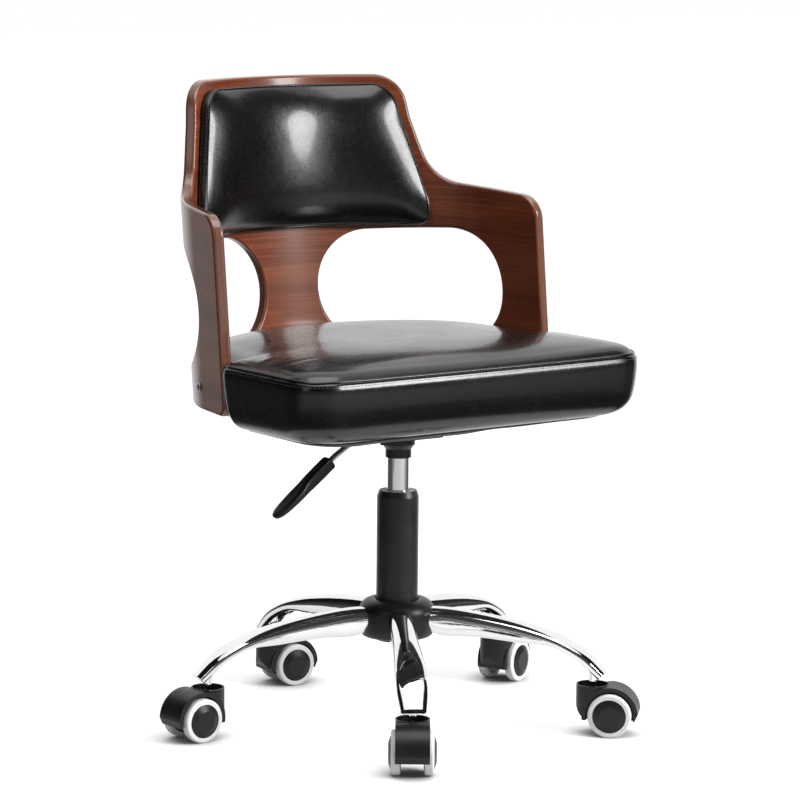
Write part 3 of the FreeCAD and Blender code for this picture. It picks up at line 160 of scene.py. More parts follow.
def black_hide():
    """Coated black hide: pebbled, a little scuffed, with an uneven gloss."""
    graph = Finish("black_hide", Specular_IOR_Level=0.45, Coat_Weight=0.40, Coat_Roughness=0.11)
    place = graph.place
    pebbles = graph.cells(place, 620.0)
    cracks = graph.cells(place, (300.0, 300.0, 360.0), "DISTANCE_TO_EDGE")
    mottle = graph.noise(place, 150.0, 6.0, 0.68)
    soft = graph.noise(place, 30.0, 4.0, 0.6)
    wide = graph.noise(place, 7.0, 2.0)
    lines = graph.cells(place, (9.0, 9.0, 26.0), "DISTANCE_TO_EDGE")
    scuff = graph.times(graph.between(lines, 0.0, 0.012, 1.0, 0.0),
                       graph.between(graph.noise(place, 24.0, 5.0, 0.7), 0.54, 0.66, 0.0, 1.0))
    tone = graph.shade(mottle, 0.35, 0.7, (0.0022, 0.0022, 0.0025), (0.0046, 0.0046, 0.0050))
    tone = graph.mix(graph.times(scuff, 0.35), tone, (0.055, 0.055, 0.058))
    rough = graph.plus(graph.between(mottle, 0.25, 0.75, 0.20, 0.28),
                       graph.between(wide, 0.35, 0.65, -0.04, 0.05))
    normal = graph.bump(graph.between(cracks, 0.0, 0.12, 0.0, 1.0), 0.10, 0.00012)
    for height, strength, distance in ((pebbles, 0.16, 0.0002), (mottle, 0.17, 0.0006), (soft, 0.22, 0.0016),
                                       (wide, 0.16, 0.006)):
        normal = graph.bump(height, strength, distance, normal)
    return graph.done(tone, rough, normal)


def grain_place(graph):
    return graph.node("ShaderNodeUVMap", {"uv_map": "grain"}).outputs["UV"]


def blended(graph, first, share, second):
    """Two values added in shares that make one."""
    return graph.plus(graph.times(first, share), graph.times(second, 1 - share))


def veneer():
    """Red brown veneer whose grain runs round the shell, under a gloss lacquer."""
    graph = Finish("veneer", Specular_IOR_Level=0.3, Coat_Weight=0.6, Coat_Roughness=0.14, Coat_IOR=1.5)
    along = grain_place(graph)
    drift = graph.noise(along, (2.2, 9.0, 1.0), 2.0)
    shift = graph.node("ShaderNodeCombineXYZ", Y=graph.times(drift, 0.02)).outputs[0]
    flow = graph.vector("ADD", along, shift)[0]
    streaks = graph.noise(flow, (7.0, 520.0, 1.0), 6.0, 0.68)
    bands = graph.noise(flow, (1.6, 46.0, 1.0), 3.0, 0.5)
    vessels = graph.noise(flow, (60.0, 2200.0, 1.0), 2.0, 0.5)
    tone = graph.ramp(blended(graph, streaks, 0.62, bands),
                      (0.28, (0.050, 0.0090, 0.0030)), (0.45, (0.132, 0.0290, 0.0095)),
                      (0.58, (0.215, 0.0560, 0.0205)), (0.74, (0.350, 0.1080, 0.0430)))
    pit = graph.between(vessels, 0.60, 0.70, 0.0, 0.55)
    tone = graph.mix(pit, tone, (0.030, 0.0085, 0.004))
    return graph.done(tone, graph.between(streaks, 0.3, 0.7, 0.30, 0.42),
                      graph.bump(graph.math("SUBTRACT", streaks, pit), 0.08, 0.0003))


def veneer_edge():
    """The sanded and stained edge of the bent plies, under the same lacquer."""
    graph = Finish("veneer_edge", Specular_IOR_Level=0.45, Coat_Weight=1.0, Coat_Roughness=0.10)
    along = grain_place(graph)
    plies = graph.noise(along, (3.0, 420.0, 1.0), 3.0, 0.5)
    flecks = graph.noise(along, (240.0, 900.0, 1.0), 3.0, 0.6)
    tone = graph.ramp(blended(graph, plies, 0.65, flecks),
                      (0.32, (0.085, 0.030, 0.016)), (0.50, (0.150, 0.056, 0.031)),
                      (0.68, (0.235, 0.098, 0.058)))
    return graph.done(tone, graph.between(flecks, 0.3, 0.7, 0.30, 0.42), graph.bump(flecks, 0.06, 0.0002))


def chrome():
    graph = Finish("chrome", Metallic=1.0)
    film = graph.noise(graph.place, 22.0, 5.0, 0.6)
    fine = graph.noise(graph.place, 260.0, 3.0)
    rough = graph.plus(graph.between(film, 0.35, 0.7, 0.018, 0.055),
                       graph.between(fine, 0.4, 0.7, 0.0, 0.012))
    tone = graph.shade(film, 0.3, 0.7, (0.86, 0.87, 0.885), (0.92, 0.925, 0.93))
    return graph.done(tone, rough, graph.bump(film, 0.03, 0.0006))


def steel(name, tone, roughness):
    graph = Finish(name, Metallic=1.0)
    marks = graph.noise(graph.place, (300.0, 300.0, 60.0), 4.0)
    patch = graph.noise(graph.place, 30.0, 3.0)
    return graph.done(graph.shade(patch, 0.3, 0.7, tuple(part * 0.8 for part in tone), tone),
                      graph.between(marks, 0.3, 0.7, roughness, roughness + 0.14),
                      graph.bump(marks, 0.08, 0.0002))


def moulded(name, dark, light, roughness, grain_size, depth, **plain):
    """A moulded or coated surface with a fine even grain."""
    graph = Finish(name, **plain)
    grain = graph.noise(graph.place, grain_size, 3.0, 0.6)
    cloud = graph.noise(graph.place, 45.0, 3.0)
    rough = graph.plus(graph.between(cloud, 0.3, 0.7, roughness, roughness + 0.07),
                       graph.between(grain, 0.3, 0.7, -0.03, 0.03))
    return graph.done(graph.shade(cloud, 0.3, 0.7, dark, light), rough, graph.bump(grain, 0.25, depth))


def plywood():
    graph = Finish("pale_wood")
    rings = graph.noise(graph.place, (14.0, 160.0, 700.0), 5.0, 0.6)
    tone = graph.ramp(rings, (0.3, (0.36, 0.23, 0.12)), (0.5, (0.50, 0.35, 0.19)), (0.7, (0.62, 0.46, 0.27)))
    return graph.done(tone, graph.between(rings, 0.3, 0.7, 0.55, 0.75), graph.bump(rings, 0.2, 0.0004))


def black_cloth():
    """Thin pressed cloth with a mottled surface."""
    graph = Finish("black_cloth", Sheen_Weight=0.25, Sheen_Roughness=0.5)
    weave = graph.cells(graph.place, 900.0)
    cloud = graph.noise(graph.place, 60.0, 4.0)
    return graph.done(graph.shade(cloud, 0.3, 0.7, (0.008, 0.008, 0.0085), (0.022, 0.022, 0.023)),
                      graph.between(weave, 0.0, 0.6, 0.75, 0.92), graph.bump(weave, 0.4, 0.0003))


def thread():
    graph = Finish("black_thread", Sheen_Weight=0.4, Sheen_Roughness=0.4)
    strands = graph.noise(graph.place, 2400.0, 2.0)
    return graph.done(graph.mix(strands, (0.010, 0.010, 0.011), (0.035, 0.035, 0.037)),
                      graph.between(strands, 0.3, 0.7, 0.40, 0.60), graph.bump(strands, 0.4, 0.0002))


FINISHES = {
    "chrome": chrome(),
    "steel": steel("steel", (0.50, 0.50, 0.52), 0.26),
    "black_plastic": moulded("black_plastic", (0.0075, 0.0075, 0.008), (0.012, 0.012, 0.0125), 0.33, 1100.0,
                             0.00012, Specular_IOR_Level=0.37),
    "black_metal": moulded("black_metal", (0.012, 0.012, 0.013), (0.018, 0.018, 0.019), 0.34, 700.0, 0.00012),
    "bush_plastic": moulded("bush_plastic", (0.30, 0.30, 0.30), (0.42, 0.42, 0.42), 0.38, 800.0, 0.0001),
    "white_tread": moulded("white_tread", (0.86, 0.86, 0.85), (0.91, 0.91, 0.90), 0.36, 900.0, 0.0001),
    "pale_wood": plywood(),
    "veneer": veneer(),
    "veneer_edge": veneer_edge(),
    "black_hide": black_hide(),
    "black_cloth": black_cloth(),
    "black_thread": thread(),
}

for row in frame["record"]["subparts"]:
    node = frame["nodes"][row["node"]]
    node.data.materials.clear()
    node.data.materials.append(FINISHES[row["material_slot"]])


# Pieces

def new_object(name, data):
    item = bpy.data.objects.new(name, data)
    bpy.context.scene.collection.objects.link(item)
    return item


def new_mesh(name, points, faces, finishes=()):
    """A mesh from points in millimetres."""
    mesh = bpy.data.meshes.new(name)
    mesh.from_pydata([Vector(point) * MM for point in points], [], faces)
    for finish in finishes:
        mesh.materials.append(FINISHES[finish])
    return mesh


def add_piece(name, points, faces, body, *finishes):
    """A smooth-shaded piece on a body, whose mesh takes its finishes as materials, the first one first."""
    mesh = new_mesh(name, points, faces, finishes)
    mesh.shade_smooth()
    piece = new_object(name, mesh)
    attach(piece, body)
    return piece


def settle(piece):
    """Turns a piece with live modifiers into a plain mesh."""
    bpy.context.view_layer.update()
    ready = piece.evaluated_get(bpy.context.evaluated_depsgraph_get())
    mesh = bpy.data.meshes.new_from_object(ready)
    piece.modifiers.clear()
    piece.data = mesh


def ring_faces(rings, close=False):
    """Quads between rings of point numbers."""
    faces = []
    for first, second in zip(rings, rings[1:] + rings[:1] * close):
        for number in range(len(first)):
            after = (number + 1) % len(first)
            faces.append((first[number], first[after], second[after], second[number]))
    return faces


def capped_faces(rings):
    """The quads between rings, and a face over each end."""
    return ring_faces(rings) + [tuple(rings[-1]), tuple(reversed(rings[0]))]


def grid_faces(side):
    """Quads of a square grid of points, row by row."""
    firsts = [row * side + column for row in range(side - 1) for column in range(side - 1)]
    return [(first, first + 1, first + side + 1, first + side) for first in firsts]


def number_rings(start, size, count):
    """Point numbers of some rings that follow one another."""
    return [list(range(start + rank * size, start + (rank + 1) * size)) for rank in range(count)]


def circle_turns(count):
    return [2 * pi * part / count for part in range(count)]


def loop_area(loop):
    return sum(a[0] * b[1] - b[0] * a[1] for a, b in zip(loop, loop[1:] + loop[:1])) / 2


def run_lengths(loop):
    """How far along a closed loop each of its points lies, and the length of the whole."""
    lengths = [0.0]
    for a, b in zip(loop, loop[1:] + loop[:1]):
        lengths.append(lengths[-1] + (b - a).length)
    return lengths


def rounded_loop(corners, step):
    """Points round a polygon whose corners have a radius each, at about an even step."""
    arcs = []
    for number, (x, y, radius) in enumerate(corners):
        corner = Vector((x, y))
        before, after = ((Vector(corners[other % len(corners)][:2]) - corner).normalized()
                         for other in (number - 1, number + 1))
        half = before.angle(after) / 2
        centre = corner + (before + after).normalized() * (radius / sin(half))
        start, end = (corner + way * (radius / tan(half)) for way in (before, after))
        arm = start - centre
        sweep = copysign(pi - 2 * half, arm.cross(end - centre))
        parts = max(int(radius * abs(sweep) / step) + 1, 4)
        turns = [sweep * part / parts for part in range(parts + 1)]
        arc = [centre + Vector((arm.x * cos(turn) - arm.y * sin(turn), arm.x * sin(turn) + arm.y * cos(turn)))
               for turn in turns]
        arcs.append((arc, start, end))
    points = []
    for (arc, _, end), (_, start, _) in zip(arcs, arcs[1:] + arcs[:1]):
        extra = int((start - end).length / (step * 2))
        points += arc + [end.lerp(start, part / (extra + 1)) for part in range(1, extra + 1)]
    return [point for point, last in zip(points, points[-1:] + points) if (point - last).length > step * 0.1]


# Bent shell, in millimetres

BACK_RADIUS = 263.5
SIDE_RADIUS = 151.9
BACK_TURN = radians(36.0)
SIDE_TURN = radians(79.1)
LEAN = radians(6.8)
BACK_FACE_Y = 168.4
SHELL_THICK = 14.3
BACK_ARC = BACK_RADIUS * BACK_TURN
SIDE_ARC = BACK_ARC + SIDE_RADIUS * (SIDE_TURN - BACK_TURN)
SIDE_X = (BACK_RADIUS - SIDE_RADIUS) * sin(BACK_TURN)
BACK_Y = BACK_FACE_Y - BACK_RADIUS
SIDE_Y = BACK_Y + (BACK_RADIUS - SIDE_RADIUS) * cos(BACK_TURN)


def lean_y(height):
    return height * tan(LEAN)


def shell_turn(reach):
    """The side of the middle line, as 1 or -1, and how far the shell has turned there."""
    side, reach = (1 if reach >= 0 else -1), abs(reach)
    if reach <= BACK_ARC:
        return side, reach / BACK_RADIUS
    return side, min(BACK_TURN + (reach - BACK_ARC) / SIDE_RADIUS, SIDE_TURN)


def shell_point(reach, height, offset):
    """A point of the shell at a reach round it, an offset outside its inner face."""
    side, turn = shell_turn(reach)
    straight = max(abs(reach) - SIDE_ARC, 0.0)
    if abs(reach) <= BACK_ARC:
        x, y = BACK_RADIUS * sin(turn), BACK_Y + BACK_RADIUS * cos(turn)
    else:
        x = SIDE_X + SIDE_RADIUS * sin(turn) + straight * cos(turn)
        y = SIDE_Y + SIDE_RADIUS * cos(turn) - straight * sin(turn)
    return Vector((side * (x + offset * sin(turn)), y + offset * cos(turn) + lean_y(height), height))


def shell_normal(reach):
    side, turn = shell_turn(reach)
    return Vector((side * sin(turn), cos(turn), -cos(turn) * tan(LEAN))).normalized()


def shell_along(reach):
    """The level way round the shell towards its right end."""
    side, turn = shell_turn(reach)
    return Vector((cos(turn), -side * sin(turn), 0.0))


UP_SHELL = Vector((0.0, sin(LEAN), cos(LEAN)))
ARM_REACH = 345.5
SHELL_HALF = [
    (160.5, 759.0, 40.0), (169.5, 706.0, 80.0), (179.0, 674.0, 60.0), (194.0, 630.0, 50.0),
    (250.0, 624.0, 200.0), (ARM_REACH, 617.0, 29.0), (343.0, 386.0, 14.0),
]
OVAL = {"half": 160.0, "height": 500.0, "wide": 240.0, "tall": 138.0, "tilt": 1.3}
EDGE_ROUND = 4.0


def shell_outline():
    right = [(a, b / cos(LEAN), c) for a, b, c in SHELL_HALF]
    return right + [(-a, b, c) for a, b, c in reversed(right)]


def oval_outline(side):
    tilt = radians(OVAL["tilt"])
    half_wide, half_tall = OVAL["wide"] / 2, OVAL["tall"] / 2
    corners = []
    for across, up in ((1, 1), (1, -1), (-1, -1), (-1, 1)):
        x = across * half_wide * cos(tilt) - up * half_tall * sin(tilt)
        y = across * half_wide * sin(tilt) + up * half_tall * cos(tilt)
        corners.append((side * (OVAL["half"] + x), (OVAL["height"] + y) / cos(LEAN), half_tall - 0.05))
    return corners


def loop_sides(loop):
    """Start and end of each side of a closed loop, as rows."""
    starts = np.array([tuple(point) for point in loop])
    return starts, np.roll(starts, -1, axis=0)


def inside(points, loop):
    """Which rows of flat points lie inside a closed loop."""
    a, b = loop_sides(loop)
    rise = np.where(b[:, 1] == a[:, 1], 1.0, b[:, 1] - a[:, 1])
    x, y = points[:, :1], points[:, 1:]
    crossed = (a[:, 1] > y) != (b[:, 1] > y)
    reach = a[:, 0] + (y - a[:, 1]) * (b[:, 0] - a[:, 0]) / rise
    return (crossed & (x < reach)).sum(axis=1) % 2 == 1


def side_gap(points, start, end):
    """The distance of each point from a side, and how far along the side it lies."""
    way = end - start
    share = np.clip(((points - start) @ way) / (way @ way), 0, 1)
    return np.linalg.norm(points - start - share[:, None] * way, axis=1), share


def edge_gap(points, loop):
    """The least distance from each point to a closed loop."""
    return np.min([side_gap(points, start, end)[0] for start, end in zip(*loop_sides(loop))], axis=0)


def within(points, loops):
    """Which points lie inside the first loop and outside the others."""
    return inside(points, loops[0]) & ~np.any([inside(points, loop) for loop in loops[1:]], axis=0)


def loop_outward(loop, hole):
    """Flat directions that point out of the material at each point of a loop."""
    turn = 1 if loop_area(loop) > 0 else -1
    if hole:
        turn = -turn
    ways = []
    for number, point in enumerate(loop):
        before = (point - loop[number - 1]).normalized()
        after = (loop[(number + 1) % len(loop)] - point).normalized()
        middle = (before + after).normalized()
        ways.append(Vector((middle.y, -middle.x)) * turn)
    return ways


def build_shell():
    """Two veneered faces over one flat layout, with rounded walls round every edge."""
    loops = [rounded_loop(shell_outline(), 4.5)]
    loops += [rounded_loop(oval_outline(side), 4.5) for side in (1, -1)]
    outward = [loop_outward(loop, number > 0) for number, loop in enumerate(loops)]
    points, normals, marks, faces, kinds = [], [], [], [], []

    def add(flat, offset, normal, mark):
        height = flat.y * cos(LEAN)
        points.append(shell_point(flat.x, height, offset))
        normals.append(normal)
        marks.append(mark)
        return len(points) - 1

    steps = 6
    rounds = [pi / 2 * step / steps for step in range(steps + 1)]
    profile = [(EDGE_ROUND * (1 - sin(t)), SHELL_THICK - EDGE_ROUND * (1 - cos(t)), t) for t in rounds]
    profile += [(inset, SHELL_THICK - offset, pi - t) for inset, offset, t in reversed(profile)]
    rims = []
    for loop, ways in zip(loops, outward):
        lengths = run_lengths(loop)
        rings = []
        for inset, offset, turn in profile:
            ring = []
            for number, (flat, way) in enumerate(zip(loop, ways)):
                spot = flat - way * inset
                face = shell_normal(spot.x)
                out = (shell_along(spot.x) * way.x + UP_SHELL * way.y).normalized()
                normal = (face * cos(turn) + out * sin(turn)).normalized()
                edge = abs(cos(turn)) < 0.75
                mark = (lengths[number] * MM, offset * MM) if edge else (spot.x * MM, spot.y * MM)
                ring.append(add(spot, offset, normal, mark))
            rings.append(ring)
        rims.append(rings)
        turned = (loop_area(loop) > 0) != (loop is not loops[0])
        for level, pair in enumerate(zip(rings, rings[1:])):
            middle = (profile[level][2] + profile[level + 1][2]) / 2
            faces += [(b, c, d, a) if turned else (a, d, c, b) for a, b, c, d in ring_faces(pair)]
            kinds += [int(abs(cos(middle)) < 0.75)] * len(loop)

    rim_loops = [[loop_point - way * EDGE_ROUND for loop_point, way in zip(loop, ways)]
                 for loop, ways in zip(loops, outward)]
    flat_points, edges = [], []
    for loop in rim_loops:
        start = len(flat_points)
        edges += [(start + number, start + (number + 1) % len(loop)) for number in range(len(loop))]
        flat_points += loop
    step_x, step_y = 7.0, 11.0
    spots = np.array([(column * step_x + (row % 2) * step_x / 2, 386.0 + row * step_y)
                      for row in range(int(760 / step_y) + 2) for column in range(-50, 51)])
    clear = within(spots, rim_loops)
    for loop in rim_loops:
        clear &= edge_gap(spots, loop) > 4.0
    flat_points += [Vector(spot) for spot in spots[clear]]
    kept, _, triangles, origins = delaunay_2d_cdt(flat_points, edges, [], 0, 0.001)[:4]
    middles = np.array([sum((Vector(kept[number]) for number in corners), Vector((0.0, 0.0))) / 3
                        for corners in triangles])
    triangles = [corners for corners, wanted in zip(triangles, within(middles, rim_loops)) if wanted]
    for offset, way in ((SHELL_THICK, 1), (0.0, -1)):
        rim_ids = [index for rings in rims for index in (rings[0] if way > 0 else rings[-1])]
        index_of = {}
        for number, flat in enumerate(kept):
            source = origins[number][0] if origins[number] else -1
            if 0 <= source < len(rim_ids):
                index_of[number] = rim_ids[source]
            else:
                mark = (flat[0] * MM, flat[1] * MM)
                index_of[number] = add(Vector(flat), offset, shell_normal(flat[0]) * way, mark)
        for corners in triangles:
            face = [index_of[number] for number in corners]
            if (loop_area([kept[number] for number in corners]) > 0) == (way > 0):
                face.reverse()
            faces.append(face)
            kinds.append(0)

    piece = add_piece("bent_shell", points, faces, "seat", "veneer", "veneer_edge")
    mesh = piece.data
    mesh.polygons.foreach_set("material_index", kinds)
    layer = mesh.uv_layers.new(name="grain")
    for corner in mesh.loops:
        layer.data[corner.index].uv = marks[corner.vertex_index]
    mesh.normals_split_custom_set_from_vertices(normals)
    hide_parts("shell")


build_shell()


# Cushions

def square_ring(size):
    """Grid places from -size to size, with the ring number and the place round the ring of each."""
    places = []
    for row in range(-size, size + 1):
        for column in range(-size, size + 1):
            ring = max(abs(column), abs(row))
            if row == ring:
                spot = column % max(8 * ring, 1)
            elif column == ring:
                spot = 2 * ring - row
            elif row == -ring:
                spot = 4 * ring - column
            else:
                spot = 6 * ring + row
            places.append((ring, spot / max(8 * ring, 1)))
    return places


def evened(grid, passes):
    """A grid whose inner values are drawn to the mean of their neighbours."""
    for _ in range(passes):
        grid[1:-1, 1:-1] = (grid[:-2, 1:-1] + grid[2:, 1:-1] + grid[1:-1, :-2] + grid[1:-1, 2:]) / 4
    return grid


def filled_loop(loop, centre):
    """Even grid points inside a flat loop of 8 * size points; the loop itself is the outer ring."""
    size, centre = len(loop) // 8, np.array(centre)
    rim = np.array([tuple(point) for point in loop])
    grid = []
    for ring, share in square_ring(size):
        spot = share * len(loop)
        first, part = int(spot) % len(loop), spot - int(spot)
        edge = rim[first] * (1 - part) + rim[(first + 1) % len(loop)] * part
        grid.append(centre + (edge - centre) * (ring / size))
    return evened(np.array(grid).reshape(2 * size + 1, 2 * size + 1, 2), 60).reshape(-1, 2)


def grid_edge(size):
    """Row and column of each point of the outer ring, in the order of the loop."""
    order = sorted((share, number) for number, (ring, share) in enumerate(square_ring(size)) if ring == size)
    return [number for _, number in order]


def vertex_rows(mesh, key):
    rows = np.zeros(len(mesh.vertices) * 3)
    mesh.vertices.foreach_get(key, rows)
    return rows.reshape(-1, 3)


def set_places(mesh, rows):
    mesh.vertices.foreach_set("co", rows.ravel())
    mesh.update()


def calmed(piece, move, passes):
    """A movement of a mesh's points with its small ripples smoothed out."""
    ends = np.zeros(len(piece.data.edges) * 2, dtype=int)
    piece.data.edges.foreach_get("vertices", ends)
    ends = ends.reshape(-1, 2)
    count = np.bincount(ends.ravel(), minlength=len(move))[:, None]
    for _ in range(passes):
        total = np.zeros_like(move)
        np.add.at(total, ends[:, 0], move[ends[:, 1]])
        np.add.at(total, ends[:, 1], move[ends[:, 0]])
        move = 0.4 * move + 0.6 * total / np.maximum(count, 1)
    return move


def inflate(piece, held, pressure, most, stiffness, calm):
    """Blows a cover up between its seams as cloth, and keeps each point near its start."""
    start = vertex_rows(piece.data, "co")
    group = piece.vertex_groups.new(name="held")
    for number, weight in held.items():
        group.add([number], weight, "REPLACE")
    cloth = piece.modifiers.new("cover", "CLOTH")
    set_all(cloth.settings, quality=6, mass=0.3, tension_stiffness=stiffness, compression_stiffness=stiffness,
            shear_stiffness=stiffness / 2, bending_stiffness=0.6, air_damping=2.0, use_pressure=True,
            uniform_pressure_force=pressure, vertex_group_mass="held")
    cloth.settings.effector_weights.gravity = 0.0
    cloth.collision_settings.use_self_collision = False
    cloth.point_cache.frame_start, cloth.point_cache.frame_end = 1, 24
    scene = bpy.context.scene
    scene.gravity = (0.0, 0.0, 0.0)
    for number in range(1, 21):
        scene.frame_set(number)
    ready = piece.evaluated_get(bpy.context.evaluated_depsgraph_get())
    move = vertex_rows(ready.data, "co") - start
    piece.modifiers.clear()
    scene.frame_set(1)
    length = np.linalg.norm(move, axis=1)
    kept = most * MM * np.tanh(length / (most * MM))
    move *= (kept / np.maximum(length, 1e-9))[:, None]
    set_places(piece.data, start + calmed(piece, move, calm))


def smooth_cover(piece):
    set_all(piece.modifiers.new("rounder", "SUBSURF"), levels=1, render_levels=1)
    settle(piece)
    piece.data.shade_smooth()


def draw_in(piece, *rings):
    """Pulls rings of a cover inwards, each by its own depth in millimetres."""
    bpy.context.view_layer.update()
    normals = [vertex.normal.copy() for vertex in piece.data.vertices]
    for ring, depth in rings:
        for number in ring:
            piece.data.vertices[number].co -= normals[number] * depth * MM


def ring_lines(piece, *rings):
    """The places of some rings of a cover, and the ways out of it there."""
    rows = [[piece.data.vertices[number] for number in ring] for ring in rings]
    return [[[getattr(spot, key).copy() for spot in row] for row in rows] for key in ("co", "normal")]


def crease(piece, folds):
    """Presses long soft folds into a cover: each has two ends, a width and a depth in millimetres."""
    points, normals = vertex_rows(piece.data, "co"), vertex_rows(piece.data, "normal")
    total = np.zeros(len(points))
    for start, end, width, depth in folds:
        gap, share = side_gap(points, np.array(start) * MM, np.array(end) * MM)
        gap /= width * MM
        fade = np.sin(np.clip(share, 0.02, 0.98) * pi) ** 0.5
        total += depth * MM * fade * (np.exp(-gap ** 2) - 0.45 * np.exp(-(gap - 1.9) ** 2 * 1.6))
    set_places(piece.data, points - normals * total[:, None])


def arc_points(centre, radius, start, end, parts):
    """Points of an arc but its last; angles are measured from +Y towards +X."""
    turns = [start + (end - start) * part / parts for part in range(parts)]
    return [(centre[0] + radius * sin(turn), centre[1] + radius * cos(turn)) for turn in turns]


def line_points(start, end, parts):
    return [tuple(a + (b - a) * part / parts for a, b in zip(start, end)) for part in range(parts)]


SEAT = {"foot": 373.0, "seam": 447.0, "half": 248.0, "past_arm": 184.7, "corner": 45.0, "tuck": 26.0,
        "shell_gap": 0.8, "arm_gap": 2.0, "crown": 17.0, "crown_run": 120.0, "edge_run": 14.0}
# How many parts each stretch of half the seat's plan has, from the middle of its back
SEAT_PARTS = (26, 18, 11, 2, 3, 19, 10, 23)
COVER_SIZE = sum(SEAT_PARTS) // 4
SEAT_FRONT_Y = shell_point(ARM_REACH, SEAT["seam"], 0.0).y - SEAT["past_arm"]


def seat_loop(height, inset):
    """The seat's plan from the middle of its back round its right side."""
    near = inset + SEAT["shell_gap"]
    lean = lean_y(height)
    side_radius = SIDE_RADIUS - near
    arm = (SIDE_X + side_radius * sin(SIDE_TURN), SIDE_Y + lean + side_radius * cos(SIDE_TURN))
    arm_end = shell_point(ARM_REACH, height, 0.0)
    notch_y = arm_end.y - SEAT["arm_gap"]
    run = (arm[1] - notch_y) / sin(SIDE_TURN)
    notch = (arm[0] + run * cos(SIDE_TURN), notch_y)
    swell = SEAT["half"] - arm_end.x
    wide = notch[0] + swell
    bend = swell * 0.45
    corner = SEAT["corner"]
    front = SEAT_FRONT_Y + inset
    stretches = [
        (arc_points, (0.0, BACK_Y + lean), BACK_RADIUS - near, 0.0, BACK_TURN),
        (arc_points, (SIDE_X, SIDE_Y + lean), side_radius, BACK_TURN, SIDE_TURN),
        (line_points, arm, notch),
        (line_points, notch, (wide - bend, notch_y)),
        (arc_points, (wide - bend, notch_y - bend), bend, 0.0, pi / 2),
        (line_points, (wide, notch_y - bend), (wide, front + corner)),
        (arc_points, (wide - corner, front + corner), corner, pi / 2, pi),
        (line_points, (wide - corner, front), (0.0, front)),
    ]
    right = [point for (make, *rest), parts in zip(stretches, SEAT_PARTS) for point in make(*rest, parts)]
    return right + [(0.0, front)] + [(-x, y) for x, y in reversed(right[1:])]


def part_of(gap, run):
    """How much of a run a gap covers, from 0 to 1."""
    return np.clip(gap / run, 0, 1)


# Levels of the side panel: height, and how far it is drawn in at that height
SEAT_SIDE = [
    (444.4, 1.4), (442.0, 0.6), (439.6, 0.2), (434.0, 0.0), (427.0, 0.2), (420.0, 0.6), (413.0, 1.1),
    (406.0, 1.8), (399.0, 2.7), (392.5, 4.2), (386.5, 6.8), (381.5, 10.2), (377.6, 14.6), (374.8, 20.0),
    (373.2, 26.5), (372.9, 34.0), (372.9, 44.0),
]
SEAM_INSET = 3.0
# Soft folds in the seat: two ends, a width and a depth
SEAT_FOLDS = [
    ((-236, -58, 452), (-176, -42, 463), 4.5, 1.3), ((-238, -84, 451), (-182, -86, 462), 5.0, 1.2),
    ((-240, -108, 450), (-196, -128, 458), 4.5, 1.1), ((-238, -130, 449), (-204, -162, 455), 4.0, 0.9),
    ((-214, -196, 450), (-120, -222, 452), 5.0, 0.8), ((-236, -40, 452), (-196, -14, 461), 4.0, 1.0),
    ((-150, -240, 440), (-60, -242, 436), 6.0, 0.8), ((60, -242, 430), (190, -240, 434), 7.0, 0.5),
]


def build_seat():
    """Top panel, side panel and turned-under edge in one cover that is blown up between its seams."""
    seam = seat_loop(SEAT["seam"], SEAM_INSET)
    size = COVER_SIZE
    flat = filled_loop(seam, (0.0, -70.0))
    gap = edge_gap(flat, seam)
    edge = np.sin(part_of(gap, SEAT["edge_run"]) * pi / 2)
    rise = (0.45 * edge + 0.55 * (1 - (1 - part_of(gap, SEAT["crown_run"])) ** 2)) * SEAT["crown"]
    points = [(x, y, SEAT["seam"] + up) for (x, y), up in zip(flat, rise)]
    rings = [grid_edge(size)] + number_rings(len(points), len(seam), len(SEAT_SIDE))
    points += [(x, y, height) for height, inset in SEAT_SIDE for x, y in seat_loop(height, inset)]
    faces = grid_faces(2 * size + 1) + ring_faces(rings) + [tuple(rings[-1])]
    piece = add_piece("seat_cover", points, faces, "seat", "black_hide")
    held = {number: 1.0 for number in rings[0] + rings[1] + rings[2]}
    for weight, ring in zip((0.4, 0.7, 1.0, 1.0, 1.0, 1.0), rings[-6:]):
        held.update({number: weight for number in ring})
    inflate(piece, held, pressure=2.2, most=3.0, stiffness=16.0, calm=10)
    draw_in(piece, (rings[0], 1.0), (rings[2], 0.7))
    crease(piece, SEAT_FOLDS)
    smooth_cover(piece)
    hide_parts("seat_cushion")
    return ring_lines(piece, rings[0], rings[2])


PAD_HALF = [(148.0, 748.0, 33.0), (158.0, 706.0, 60.0), (189.0, 605.0, 30.0), (189.5, 575.0, 15.0)]
PAD_GAP, PAD_EDGE, PAD_FULL = 1.5, 12.0, 30.5
# Rings of the pad's side panel: distance from the shell, and how far it swells there
PAD_SIDE = ((10.6, 0.3), (9.2, 0.4), (7.4, 0.3), (5.4, 0.0), (3.4, -0.6), (PAD_GAP, -2.0))


def even_loop(corners, count):
    """A rounded polygon cut into even steps, started where it crosses the middle line."""
    loop = rounded_loop(corners, 2.0)
    if loop_area(loop) > 0:
        loop.reverse()
    lengths = run_lengths(loop)
    top = max(range(len(loop)), key=lambda number: (round(loop[number].y, 3), -abs(loop[number].x)))
    a, b = loop[top], loop[(top + 1) % len(loop)]
    if a.x > 0:
        top -= 1
        a, b = loop[top], loop[(top + 1) % len(loop)]
    offset = lengths[top % len(loop)] + (b - a).length * (-a.x / (b.x - a.x))
    total = lengths[-1]
    even = []
    for number in range(count):
        spot = (offset + total * number / count) % total
        after = next(index for index in range(1, len(lengths)) if lengths[index] >= spot)
        run = lengths[after] - lengths[after - 1]
        share = (spot - lengths[after - 1]) / run if run else 0.0
        even.append(tuple(loop[after - 1].lerp(loop[after % len(loop)], share)))
    return even


